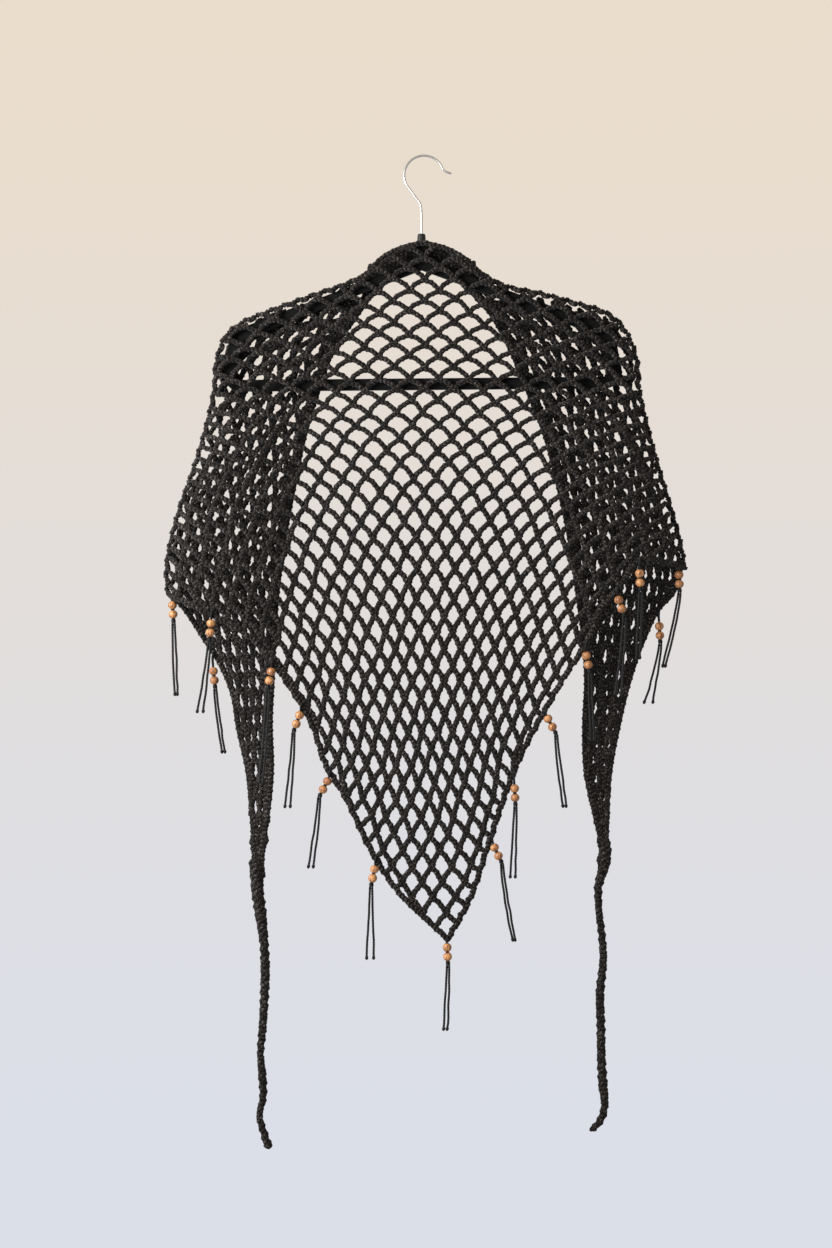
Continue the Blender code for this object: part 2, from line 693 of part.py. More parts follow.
def make_bead(name, centre, y, axis, segments=5):
    """A turned wooden bead, bored through for the doubled cord."""
    first = math.asin(BEAD_BORE / BEAD_RADIUS)
    profile = []
    for k in range(segments + 1):
        angle = first + (math.pi - 2 * first) * k / segments
        profile.append((BEAD_RADIUS * math.sin(angle), BEAD_RADIUS * math.cos(angle)))
    piece = turned_piece(name, profile, "turned_wood", 10, world(centre[0], y, centre[1]))
    piece.rotation_euler = (0.0, -math.atan2(axis[0], -axis[1]), 0.0)
    return piece


def make_tassels():
    for number, row in enumerate(TASSELS, start=1):
        layout = tassel_layout(row)
        _, y, axis, _, upper, lower, _ = layout
        make_tassel_cord(f"tassel_cord_{number:02d}", layout)
        make_bead(f"bead_{number:02d}_upper", upper, y, axis)
        make_bead(f"bead_{number:02d}_lower", lower, y, axis)


clear_scene()
SHAWL = make_collection("mesh_shawl_on_hanger")
make_hanger_frame()
make_ferrule()
make_hook()
make_body()
make_neck_roll()
for wing in ("left", "right"):
    make_fall(wing)
    make_tie(wing)
make_tassels()
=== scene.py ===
# %% [markdown]
# # A crocheted mesh shawl on a hanger
#
# The solids of this shawl are plain walls of the right size. This script dresses them: it
# crochets the open net over the same curved surfaces, rolls the neck, twists the ties, and
# turns the beads and their cords. Read it from top to bottom, a cell at a time.

import json
import math

import bpy
import numpy as np
from mathutils import Matrix, Vector

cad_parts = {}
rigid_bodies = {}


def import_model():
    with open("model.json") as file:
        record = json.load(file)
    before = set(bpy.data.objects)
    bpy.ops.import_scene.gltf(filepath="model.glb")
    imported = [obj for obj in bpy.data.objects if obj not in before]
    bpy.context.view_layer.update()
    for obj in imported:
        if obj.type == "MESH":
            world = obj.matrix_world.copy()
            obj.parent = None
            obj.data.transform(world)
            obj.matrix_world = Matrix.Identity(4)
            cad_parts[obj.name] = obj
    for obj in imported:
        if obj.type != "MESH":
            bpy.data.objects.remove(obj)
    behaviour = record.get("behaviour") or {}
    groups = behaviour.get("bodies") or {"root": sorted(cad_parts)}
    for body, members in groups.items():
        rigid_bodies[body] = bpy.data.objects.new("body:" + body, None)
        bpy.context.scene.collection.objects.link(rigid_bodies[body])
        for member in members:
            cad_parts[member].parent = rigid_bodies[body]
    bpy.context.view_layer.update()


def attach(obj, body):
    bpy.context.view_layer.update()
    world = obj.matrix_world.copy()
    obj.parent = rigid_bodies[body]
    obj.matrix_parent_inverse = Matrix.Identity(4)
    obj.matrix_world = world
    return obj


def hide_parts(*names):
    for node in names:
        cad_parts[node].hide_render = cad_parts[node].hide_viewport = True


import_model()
MM = 0.001
rng = np.random.default_rng(41)

# %% [markdown]
# ## The shape that the shawl hangs in
#
# The net is drawn flat, as X and Z seen from the front, and then laid on a curved surface that
# gives its depth. The tables repeat the sizes of the solids in millimetres, X from the hanger's
# neck and Z from the hook's crown, so the yarn lies where the walls lie. A surface could also be
# read from the solids, but a formula gives a smooth depth and direction at any place, which a
# swept strand needs.

# %% Driving sizes and outlines
NECK_X = -2.65
FRONT_DEPTH = 8.0
BACK_DEPTH = 9.5
FOLD_RADIUS_TOP = 8.0
FOLD_RADIUS_SIDE = 42.0
SIDE_SWELL_FRONT = 18.0
SIDE_SWELL_BACK = 12.0
SWELL_Z = (-195.0, -330.0)
SWELL_X = (100.0, 205.0)
RIM_Y = 0.75
NECK_SLOT_DEPTH = 7.6
NECK_SLOT_WIDTH = 14.0
NECK_SEAM_X = 50.0
GATHERS = 3
GATHER_DEPTH = 3.0
GATHERS_START = (0.15, 0.4)   # shares of a fall's height

# Height, left and right of the outer fold, from the neck to the side corners
FOLD = [
    (-89, -1, 4), (-93, -19, 22), (-106, -44, 47), (-123, -60, 65), (-133, -77, 80),
    (-146, -112, 130), (-156, -140, 166), (-166, -167, 196), (-176, -190, 209),
    (-190, -207, 219), (-212, -216, 227), (-250, -220, 231), (-290, -229, 240),
    (-330, -241, 251), (-370, -255, 263), (-410, -266, 274), (-438, -270, 279),
]
LEFT_CORNER = (-268, -466)

# Left x and z, right x and z of the hem in front, from the corners to the bottom point
HEM = [
    (-268, -466, 279, -438), (-245, -475, 253, -431), (-222, -486, 229, -430),
    (-194, -501, 208, -459), (-175, -515, 189, -480), (-161, -531, 176, -513),
    (-146, -553, 153, -549), (-117, -602, 132, -586), (-101, -648, 107, -633),
    (-85, -673, 95, -662), (-54, -736, 71, -732), (-26, -779, 52, -787), (28, -831, 28, -831),
]

# Height, left and right of the shawl's long edge, which hangs behind
LONG_EDGE = [
    (-135, -51, 52), (-167, -70, 76), (-200, -93, 94), (-245, -110, 113), (-290, -124, 131),
    (-345, -136, 146), (-405, -147, 159), (-466, -155, 168), (-510, -158, 174),
    (-555, -160, 177), (-600, -162, 175), (-655, -160, 176), (-700, -163, 184),
    (-735, -167, 190),
]

# Left x and z, right x and z of the hems behind, from the corners to the ties
FALL_HEM = [
    (-268, -466, 279, -438), (-258, -477, 271, -463), (-236, -510, 256, -480),
    (-217, -540, 241, -510), (-204, -572, 226, -552), (-199, -603, 214, -600),
    (-189, -655, 206, -645), (-186, -700, 203, -690), (-184, -738, 203, -726),
]
TIE_ROOT = {"left": (-169, -183, -771), "right": (189, 202, -751)}

# Which height on the outer rim each height on the long edge is joined to
FAN = [(-111, -111), (-135, -133), (-167, -150), (-200, -166), (-245, -200), (-290, -262),
       (-330, -318), (-360, -360), (-771, -771)]
FALL_ROWS = 24
AWAY = {"left": -1, "right": 1}     # which way X runs from the middle
SIDES = tuple(AWAY)
EDGE_SAMPLES = 90     # places along half of the crest, or of the hem in front
FOLD_SAMPLES = 241
RIM_SAMPLES = 200
BATCH = 4000          # places that are measured at once, to save memory
print("hem stations:", len(HEM), "fold stations:", len(FOLD))


# %% A smooth curve through a table's places
def path_lengths(points):
    steps = np.linalg.norm(np.diff(points, axis=0), axis=1)
    return np.concatenate([[0.0], np.cumsum(steps)])


def along(points, fractions):
    """Places on a smooth curve through the given ones, at fractions of its length."""
    points = np.asarray(points, dtype=float)
    lengths = path_lengths(points)
    slopes = np.gradient(points, lengths, axis=0)
    wanted = np.clip(np.asarray(fractions, dtype=float), 0.0, 1.0) * lengths[-1]
    index = np.clip(np.searchsorted(lengths, wanted, side="right") - 1, 0, len(points) - 2)
    span = (lengths[index + 1] - lengths[index])[:, None]
    t = (wanted - lengths[index])[:, None] / span
    start, end = points[index], points[index + 1]
    start_slope, end_slope = slopes[index] * span, slopes[index + 1] * span
    return ((2 * t**3 - 3 * t**2 + 1) * start + (t**3 - 2 * t**2 + t) * start_slope
            + (3 * t**2 - 2 * t**3) * end + (t**3 - t**2) * end_slope)


def evenly(points, step):
    """The same curve, cut into even steps."""
    total = path_lengths(np.asarray(points, dtype=float))[-1]
    return along(points, np.linspace(0.0, 1.0, max(int(total / step), 2) + 1))


def smoothstep(value, start, end):
    t = np.clip((np.asarray(value, dtype=float) - start) / (end - start), 0.0, 1.0)
    return t * t * (3.0 - 2.0 * t)


fold_line = {
    "left": np.array([(row[1], row[0]) for row in FOLD] + [LEFT_CORNER], dtype=float),
    "right": np.array([(row[2], row[0]) for row in FOLD], dtype=float),
}
body_hem = {
    "left": np.array([row[:2] for row in HEM], dtype=float),
    "right": np.array([row[2:] for row in HEM], dtype=float),
}
fall_hem = {
    "left": np.array([row[:2] for row in FALL_HEM] + [TIE_ROOT["left"][1:]], dtype=float),
    "right": np.array([row[2:] for row in FALL_HEM] + [TIE_ROOT["right"][1:]], dtype=float),
}
crest = np.concatenate([along(fold_line["left"], np.linspace(1, 0, EDGE_SAMPLES)),
                        along(fold_line["right"], np.linspace(0, 1, EDGE_SAMPLES))])
print("crest runs", round(path_lengths(crest)[-1]), "mm from corner to corner")


# %% [markdown]
# ## How deep the cloth lies
#
# The net passes over the hanger's arms, so it bulges in front of them and the falls bulge
# behind. Near the fold both layers curve in until they meet. One formula gives that depth from
# the distance to the fold, and the falls add the soft gathers that run down to the ties.

# %% How deep the cloth lies
def crest_distance(x, z):
    """How far places are from the outline that the cloth folds round."""
    start, end = crest[:-1], crest[1:]
    run = end - start
    size = np.maximum((run * run).sum(axis=1), 1e-9)
    gaps = []
    places = np.stack([x, z], axis=-1)
    for first in range(0, len(places), BATCH):
        offset = places[first:first + BATCH, None, :] - start
        t = np.clip((offset * run).sum(axis=-1) / size, 0.0, 1.0)
        gap = offset - t[..., None] * run
        gaps.append(np.sqrt((gap * gap).sum(axis=-1)).min(axis=-1))
    return np.concatenate(gaps)


def layer_depth(x, z, sign):
    """Depth of the net's middle: in front of the hanger for -1, behind it for +1."""
    depth, swell = ((FRONT_DEPTH, SIDE_SWELL_FRONT) if sign < 0
                    else (BACK_DEPTH, SIDE_SWELL_BACK))
    full = depth + swell * smoothstep(np.abs(x), *SWELL_X) * smoothstep(z, *SWELL_Z)
    radius = FOLD_RADIUS_TOP + (FOLD_RADIUS_SIDE - FOLD_RADIUS_TOP) * smoothstep(z, *SWELL_Z)
    turn = 1.0 - np.minimum(crest_distance(x, z) / radius, 1.0)
    rim = np.minimum(RIM_Y + NECK_SLOT_DEPTH * np.exp(-(x / NECK_SLOT_WIDTH) ** 2), full)
    return sign * (rim + (full - rim) * np.sqrt(1.0 - turn * turn))


def fall_edges(side):
    """The crest, the long edge and the hem of one fall, as flat lines."""
    column = 1 if side == "left" else 2
    line = along(fold_line[side], np.linspace(0, 1, FOLD_SAMPLES))
    line = line[int(np.argmax(AWAY[side] * line[:, 0] >= NECK_SEAM_X)):]
    inner = [tuple(line[0])] + [(row[column], row[0]) for row in LONG_EDGE]
    inner.append((TIE_ROOT[side][0], TIE_ROOT[side][2]))
    return line, np.array(inner, dtype=float), fall_hem[side]


def fall_depth(side):
    """The depth of one fall, with its soft gathers running down to the tie."""
    line, inner, outer = fall_edges(side)
    rim = np.concatenate([line, outer[1:]])
    top_z, root_z = inner[0][1], inner[-1][1]

    def depth(x, z):
        near = np.interp(-z, -inner[:, 1], inner[:, 0])
        far = np.interp(-z, -rim[:, 1], rim[:, 0])
        width = np.where(np.abs(far - near) < 1.0, 1.0, far - near)
        across = np.clip((far - x) / width, 0.0, 1.0)
        down = np.clip((top_z - z) / (top_z - root_z), 0.0, 1.0)
        wave = np.sin(2.0 * math.pi * GATHERS * across) * smoothstep(down, *GATHERS_START)
        return layer_depth(x, z, 1) + GATHER_DEPTH * wave * (1.0 - down)

    return depth


def fall_rim(side):
    """The places on a fall's fold and hem where the rows of its wall end."""
    line, inner, outer = fall_edges(side)
    rim = np.concatenate([line, along(outer, np.linspace(0, 1, RIM_SAMPLES))[1:]])
    joined = np.array(FAN, dtype=float)
    heights = np.linspace(line[0][1], inner[-1][1], FALL_ROWS + 1)
    rim_heights = np.interp(-heights, -joined[:, 0], joined[:, 1])
    rim_heights[0], rim_heights[-1] = line[0][1], inner[-1][1]
    return np.stack([np.interp(-rim_heights, -rim[:, 1], rim[:, 0]), rim_heights], axis=1)


def body_depth(x, z):
    return layer_depth(x, z, -1)


def world(flat, y):
    """Flat places and their depths in millimetres, as places in metres round the hook's crown."""
    return np.stack([flat[:, 0] + NECK_X, y, flat[:, 1]], axis=1) * MM


print("depth at mid chest:", body_depth(np.array([0.0]), np.array([-300.0])), "mm")

# %% [markdown]
# ## One strand of crochet chain
#
# The yarn is worked as chain stitch: a row of small interlocking loops, flatter than it is
# wide. A bevelled curve would give a smooth noodle. Here each strand is a closed tube with rings
# every half stitch: a full ring, then a waist, and the full rings lean left and right in turn,
# as the two legs of each stitch do. Each point also keeps its angle and its distance along the
# strand in an attribute, which the yarn's material reads to lay its plies round the strand.

# %% Sweep strands into one closed mesh
STITCH = 4.6          # one chain stitch, in millimetres
CHAIN_HALF_WIDTH = 3.05
CHAIN_HALF_DEPTH = 2.1
STRAND_SIDES = 6
END_SIZE = 0.62       # how far a strand closes at its two ends
LEANS = np.array([1.0, 0.0, -1.0, 0.0])     # the full rings lean one way, then the other


def strand_normals(flat, depth):
    """Which way the cloth faces at each place."""
    step = 0.4
    x, z = flat[:, 0], flat[:, 1]
    across = (depth(x + step, z) - depth(x - step, z)) / (2 * step)
    down = (depth(x, z + step) - depth(x, z - step)) / (2 * step)
    normal = np.stack([-across, np.ones_like(across), -down], axis=1)
    return normal / np.linalg.norm(normal, axis=1)[:, None]


def sweep(points, normals, half_width, half_depth, sides=STRAND_SIDES, stitch=STITCH,
          lump=0.10, lean=0.35):
    """Rings round one route in metres, and each ring point's angle and place along it."""
    tangent = np.gradient(points, axis=0)
    tangent /= np.maximum(np.linalg.norm(tangent, axis=1), 1e-9)[:, None]
    across = np.cross(tangent, normals)
    across /= np.maximum(np.linalg.norm(across, axis=1), 1e-9)[:, None]
    outward = np.cross(across, tangent)
    run = path_lengths(points) / MM
    phase = np.arange(len(points))
    full = np.where(phase % 2 == 0, 1.0 + lump, 1.0 - lump)
    full[[0, -1]] *= END_SIZE
    sideways = lean * LEANS[phase % 4]
    angles = 2 * math.pi * np.arange(sides) / sides
    wide = (half_width * full)[:, None] * np.cos(angles) + sideways[:, None]
    deep = (half_depth * full)[:, None] * np.sin(angles)
    rings = (points[:, None, :] + across[:, None, :] * wide[..., None] * MM
             + outward[:, None, :] * deep[..., None] * MM)
    marks = np.stack([np.broadcast_to(np.cos(angles), wide.shape),
                      np.broadcast_to(np.sin(angles), wide.shape),
                      np.broadcast_to((run / stitch)[:, None], wide.shape)], axis=-1)
    return rings, marks


def facing_back(points):
    """For a strand that hangs free: it faces straight back all along."""
    return np.tile([0.0, 1.0, 0.0], (len(points), 1))


def strands_to_piece(name, swept):
    """One mesh object from many swept strands, each closed at both ends."""
    verts, marks, faces = [], [], []
    first = 0
    for rings, mark in swept:
        count, sides = rings.shape[:2]
        verts.append(rings.reshape(-1, 3))
        marks.append(mark.reshape(-1, 3))
        grid = first + np.arange(count * sides).reshape(count, sides)
        after = np.roll(grid, -1, axis=1)
        quads = np.stack([grid[:-1], after[:-1], after[1:], grid[1:]], axis=-1)
        faces.extend(quads.reshape(-1, 4).tolist())
        faces.append(grid[0][::-1].tolist())
        faces.append(grid[-1].tolist())
        first += count * sides
    mesh = bpy.data.meshes.new(name)
    mesh.from_pydata(np.concatenate(verts).tolist(), [], faces)
    mesh.validate()
    attribute = mesh.attributes.new("strand", "FLOAT_VECTOR", "POINT")
    attribute.data.foreach_set("vector", np.concatenate(marks).astype(np.float32).ravel())
    mesh.shade_smooth()
    piece = bpy.data.objects.new(name, mesh)
    bpy.context.scene.collection.objects.link(piece)
    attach(piece, "root")
    triangles = sum(len(polygon.vertices) - 2 for polygon in mesh.polygons)
    print(name, "has", len(swept), "strands and", triangles, "triangles")
    return piece


def chain(flat, depth, width=1.0, thick=1.0, lift=0.0, **shape):
    """A strand of chain along a flat line, laid on the cloth's surface."""
    flat = evenly(flat, STITCH / 2)
    normals = strand_normals(flat, depth)
    points = world(flat, depth(flat[:, 0], flat[:, 1])) + normals * lift * MM
    return sweep(points, normals, CHAIN_HALF_WIDTH * width, CHAIN_HALF_DEPTH * thick, **shape)


print("a chain is", 2 * CHAIN_HALF_WIDTH, "mm wide, with a stitch every", STITCH, "mm")

# %% [markdown]
# ## The open net
#
# Every row of this mesh is a line of arches: the chain leaves one knot, rises over the gap and
# comes down to the next knot, and the row above is worked into the arches' crowns. So a gap has
# a round top and a pointed foot. The arches are all of one length, so where the net is pulled
# wide across the shoulders its rows lie close together, and where it hangs narrow the gaps turn
# tall. The rows are laid out from that one length. The alternative, a flat pattern stretched
# over the wall, would give gaps of the wrong shape at both ends.

# %% Lay out the arches
ARCH_LEG = 19.6       # the chain from a knot to the crown of its arch
FOOT_DROP = 1.2       # how far an arch sinks into the knot that it starts from
ARCH_POINTS = 12      # places along one leg of an arch
KNOTS_EACH_WAY = 26   # more than the widest row has, because the outline trims them
BOW_REACH = 200.0     # a row's bow is given at this distance from its middle
TAUT_LIMIT = 60.0     # keeps rows apart where the knots are pulled as far as the chain allows
TRIM_STEP = 1.5
SHORTEST_STRETCH = 4  # a stretch with fewer places is left out


def half_row(pitch):
    """How far apart the rows hang where the knots are this far apart."""
    return np.sqrt(np.maximum(ARCH_LEG**2 - (pitch / 2) ** 2, TAUT_LIMIT))


def inside(places, outline):
    """Which places lie within a closed outline."""
    x, z = places[:, 0][:, None], places[:, 1][:, None]
    x0, z0 = outline[:, 0], outline[:, 1]
    x1, z1 = np.roll(x0, -1), np.roll(z0, -1)
    crosses = (z0 > z) != (z1 > z)
    rise = np.where(np.abs(z1 - z0) < 1e-9, 1e-9, z1 - z0)
    left = x < (x1 - x0) * (z - z0) / rise + x0
    return (crosses & left).sum(axis=1) % 2 == 1


def table_at(rows):
    """A value that changes smoothly with the height."""
    heights = np.array([-row[0] for row in rows], dtype=float)
    values = np.array([row[1] for row in rows], dtype=float)
    return lambda z: float(np.interp(-z, heights, values))


def net_lines(outline, top, bottom, tables, play):
    """Flat lines of all the arches within an outline, from its pitch, middle, bow and round."""
    pitch_at, middle_at, bow_at, round_at = (table_at(table) for table in tables)
    levels = [top]
    while levels[-1] > bottom:
        levels.append(levels[-1] - float(half_row(pitch_at(levels[-1]))))
    shift = rng.normal(0.0, play, (len(levels), 2 * KNOTS_EACH_WAY + 2, 2))

    def knot(row, column):
        z = levels[row]
        x = middle_at(z) + column * pitch_at(z)
        dx, dz = shift[row, int(column + KNOTS_EACH_WAY)]
        return np.array([x + dx, z + bow_at(z) * (x / BOW_REACH) ** 2 + dz])

    t = np.linspace(0.0, 1.0, ARCH_POINTS)
    foot = np.stack([np.zeros(ARCH_POINTS), -FOOT_DROP * (1 - t)], axis=1)
    lines = []
    for row in range(1, len(levels)):
        half = 0.5 * (row % 2)
        roundness = round_at(levels[row])
        rise = roundness * np.sin(t * math.pi / 2) + (1 - roundness) * t
        spread = roundness * (1 - np.cos(t * math.pi / 2)) + (1 - roundness) * t
        for number in range(1 - KNOTS_EACH_WAY, KNOTS_EACH_WAY - 1):
            left, right = knot(row, number + half), knot(row, number + 1 + half)
            crown = knot(row - 1, number + 0.5 + half)
            legs = []
            for start in (left, right):
                way = crown - start
                legs.append(start + np.stack([way[0] * spread, way[1] * rise], axis=1) + foot)
            lines.append(np.concatenate([legs[0], legs[1][::-1][1:]]))
    return trimmed(lines, outline)


def trimmed(lines, outline):
    """The stretches of the lines that lie within the outline."""
    fine = [evenly(line, TRIM_STEP) for line in lines]
    keep = inside(np.concatenate(fine), outline)
    out, first = [], 0
    for line in fine:
        mask = keep[first:first + len(line)]
        first += len(line)
        if mask.all():
            out.append(line)
        elif mask.any():
            edges = np.flatnonzero(np.diff(np.concatenate([[0], mask.astype(int), [0]])))
            for start, end in zip(edges[::2], edges[1::2]):
                if end - start >= SHORTEST_STRETCH:
                    out.append(line[start:end])
    return out


print("at knots 22 mm apart the rows hang", round(float(half_row(22.0)), 1), "mm apart")

# %% [markdown]
# ## The body of the shawl
#
# The front net spreads over both arms and narrows to its point. Tables of a few heights say how
# far apart the knots are, how a row bows and how round its arches hang, so it changes smoothly
# as one cloth does. A little random play at each knot keeps it from looking printed.

# %% The body of the shawl
BODY_PITCH = [(-90, 32.0), (-250, 31.0), (-330, 25.5), (-420, 21.0), (-520, 17.6), (-640, 15.3),
              (-700, 17.6), (-760, 21.5), (-831, 25.0)]
BODY_MIDDLE = [(-90, 2.0), (-400, 4.0), (-600, 8.0), (-831, 28.0)]
BODY_BOW = [(-90, -38.0), (-240, -22.0), (-380, 0.0), (-560, 22.0), (-831, 60.0)]
BODY_ROUND = [(-90, 0.82), (-330, 0.75), (-450, 0.55), (-640, 0.42), (-831, 0.55)]
BODY_WIDTH = [(-90, 0.88), (-300, 0.90), (-420, 1.0), (-831, 1.0)]    # thinner where it is taut
EDGE_INSET = 2.8
NECK_TUCK = 1.2       # the yarn lies this far below the solid's top, so the ferrule shows
NECK_TUCK_WIDTH = 55.0
BODY_TOP_Z = -86.0
BODY_BOTTOM_Z = -860.0


yarn_crest = crest.copy()
yarn_crest[:, 1] -= NECK_TUCK * np.exp(-(crest[:, 0] / NECK_TUCK_WIDTH) ** 2)


def edge_normals(line, outward):
    """Which way is out of the cloth at each place on its edge."""
    heading = np.gradient(line, axis=0)
    heading /= np.linalg.norm(heading, axis=1)[:, None]
    return np.stack([heading[:, 1], -heading[:, 0]], axis=1) * outward


def brought_in(line, outward):
    """An edge moved in by half a chain, so the chain's outer side lies on the edge."""
    return line - edge_normals(line, outward) * EDGE_INSET


body_outline = np.concatenate([
    brought_in(yarn_crest, -1),
    brought_in(along(body_hem["right"], np.linspace(0, 1, EDGE_SAMPLES)), -1),
    brought_in(along(body_hem["left"], np.linspace(0, 1, EDGE_SAMPLES)), 1)[::-1],
])
body_lines = net_lines(body_outline, BODY_TOP_Z, BODY_BOTTOM_Z,
                       (BODY_PITCH, BODY_MIDDLE, BODY_BOW, BODY_ROUND), play=0.9)
taut = table_at(BODY_WIDTH)
body_net = strands_to_piece(
    "body_net", [chain(line, body_depth, width=taut(line[:, 1].mean())) for line in body_lines])
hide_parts("body")

# %% [markdown]
# ## The two falls
#
# Each corner of the shawl hangs behind the front net, drawn together until it ends in a tie.
# It is the same net with other tables, whose knots lie closer and closer, and with three chains
# along its edges, two of them side by side on the long edge.

# %% The two falls, with their cells drawn narrow by the gathers
FALL_PITCH = [(-120, 18.0), (-300, 13.2), (-450, 10.2), (-560, 8.4), (-680, 7.2), (-771, 6.6)]
FALL_PULL = {"left": 0.96, "right": 0.80}    # the right one is drawn closer together
FALL_BOW = [(-120, -30.0), (-400, -10.0), (-771, 0.0)]
FALL_ROUND = [(-120, 0.7), (-450, 0.55), (-771, 0.4)]
TAPER_Z = (-600.0, -750.0)
TAPER_INSET = 3.0
TAPER_END = {"left": (-172.0, -797.0), "right": (191.5, -774.0)}
FALL_TOP_Z = -130.0
FALL_BOTTOM_Z = -790.0
MIDDLE_HEIGHTS = range(-140, -771, -30)
FINE_SAMPLES = 120    # places along a fall's edge, or along the hem's edging
SECOND_CHAIN = 4.4    # how far the long edge's second chain lies from its first


def drawn_in(line, side, towards):
    """An edge that comes in as it nears the tie, and runs down into it."""
    line = line.copy()
    line[:, 0] += towards * TAPER_INSET * smoothstep(line[:, 1], *TAPER_Z)
    return np.concatenate([line, [TAPER_END[side]]])


fall_nets = {}
net_length = {"body": sum(path_lengths(line)[-1] for line in body_lines)}
for side in SIDES:
    line, inner, outer = fall_edges(side)
    away = AWAY[side]
    smooth_inner = along(inner, np.linspace(0, 1, FINE_SAMPLES))
    smooth_outer = brought_in(along(outer, np.linspace(0, 1, FINE_SAMPLES)), -away)
    outline = np.concatenate([brought_in(line, -away), smooth_outer[1:], smooth_inner[::-1]])
    rim = np.concatenate([line, smooth_outer[1:]])
    middle = [(z, 0.5 * (np.interp(-z, -smooth_inner[:, 1], smooth_inner[:, 0])
                         + np.interp(-z, -rim[:, 1], rim[:, 0])))
              for z in MIDDLE_HEIGHTS]
    depth = fall_depth(side)
    pitch = [(z, knots * FALL_PULL[side]) for z, knots in FALL_PITCH]
    lines = net_lines(outline, FALL_TOP_Z, FALL_BOTTOM_Z, (pitch, middle, FALL_BOW, FALL_ROUND),
                      play=0.8)
    edge = [chain(drawn_in(smooth_inner, side, away), depth, width=1.15, thick=1.1),
            chain(drawn_in(smooth_inner + [SECOND_CHAIN * away, 0.0], side, 0), depth,
                  width=1.1),
            chain(drawn_in(smooth_outer, side, -away), depth, width=1.05)]
    fall_nets[side] = strands_to_piece(side + "_fall_net",
                                       [chain(one, depth) for one in lines] + edge)
    net_length[side] = sum(path_lengths(one)[-1] for one in lines)
    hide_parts(side + "_fall")

# %% [markdown]
# ## The neck and the edges
#
# The long edge is rolled double over the hanger's neck, so it shows as a dense band of chains
# that run side by side. The hem and the fold are finished with one row of chain that swings out
# a little between its joins. Both follow lines that the net already has, so they fit it.

# %% The rolled neck, the hem's edging and the scalloped fold
ROLL_CHAINS = (3.2, 6.8, 10.4, 14.0, 17.6, 21.2)
ROLL_BOTTOM_Z = -113.0
ROLL_SLOPE = 22.0
ROLL_REACH = 62.0
NECK_SAMPLES = 1200
SCALLOPS_GROW = 40.0  # beyond the still stretch, they reach their full size within this
neck_line = along(yarn_crest, np.linspace(0, 1, NECK_SAMPLES))
neck_line = neck_line[np.abs(neck_line[:, 0]) < ROLL_REACH]


def roll_depth(x, z):
    return layer_depth(x, z, 1)


roll = []
for offset in ROLL_CHAINS:
    x = neck_line[:, 0]
    low = ROLL_BOTTOM_Z - (x / NECK_SEAM_X) ** 2 * ROLL_SLOPE
    z = neck_line[:, 1] + (low - neck_line[:, 1]) * offset / ROLL_CHAINS[-1]
    roll.append(chain(np.stack([x, z], axis=1), roll_depth, width=1.1, thick=1.25))
neck_band = strands_to_piece("neck_band", roll)
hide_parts("neck_roll")


def scalloped(line, size, period, outward, still=0.0):
    """A line that swings out a little between its joins, beyond a still stretch at the middle."""
    line = evenly(brought_in(line, outward), TRIM_STEP)
    swing = size * np.abs(np.sin(math.pi * path_lengths(line) / period))
    swing *= smoothstep(np.abs(line[:, 0]), still - 1.0, still + SCALLOPS_GROW)
    return line + edge_normals(line, outward) * swing[:, None]


edging = []
for side in SIDES:
    line = along(body_hem[side], np.linspace(0, 1, FINE_SAMPLES))
    swung = scalloped(line, size=1.6, period=17.0, outward=-AWAY[side])
    edging.append(chain(swung, body_depth, width=1.05))
swung = scalloped(yarn_crest, size=3.2, period=15.0, outward=-1, still=50.0)
edging.append(chain(swung, body_depth, thick=1.35))
hem_edging = strands_to_piece("hem_edging", edging)

# %% [markdown]
# ## The ties
#
# The ties are the shawl's two ends: a narrow strip that has wound itself round as it hangs.
# Winding a real strip would cross it through itself. Three chains laid as a loose rope give
# that look with few faces, and the table gives the bends and widths of each tie.

# %% The twisted ties
# Left x, z and width, right x, z and width of each bend
TIES = [
    (-176, -772.3, 13.0, 196.0, -753.6, 11.0), (-172, -804, 12.5, 190, -771, 9.0),
    (-168, -839, 9.0, 189.5, -797, 7.6), (-167, -863, 10.0, 193, -828, 7.8),
    (-168, -897, 9.0, 194.5, -850, 8.2), (-170, -930, 8.5, 191, -892, 9.2),
    (-172, -955, 7.2, 192, -925, 9.0), (-170, -978, 9.0, 192.5, -960, 9.2),
    (-169.5, -1003, 7.6, 194.5, -992, 10.0), (-173, -1019, 7.0, 196, -1010, 7.8),
    (-168, -1040, 8.0, 192, -1025, 8.4), (-163, -1055, 9.4, 181, -1038, 7.6),
]
TIE_LAY = 34.0        # one turn of the three chains
TIE_TUCK = 26.0       # how far the rope runs up into the fall
TIE_FLARE = 3.0       # how much wider it is there
TIE_STEP = 1.15       # a quarter of a stitch, so every second place is a ring
PLY_OFFSET = 0.24     # shares of the tie's width
PLY_HALF_WIDTH = 0.31
PLY_HALF_DEPTH = 0.28
ties = {}
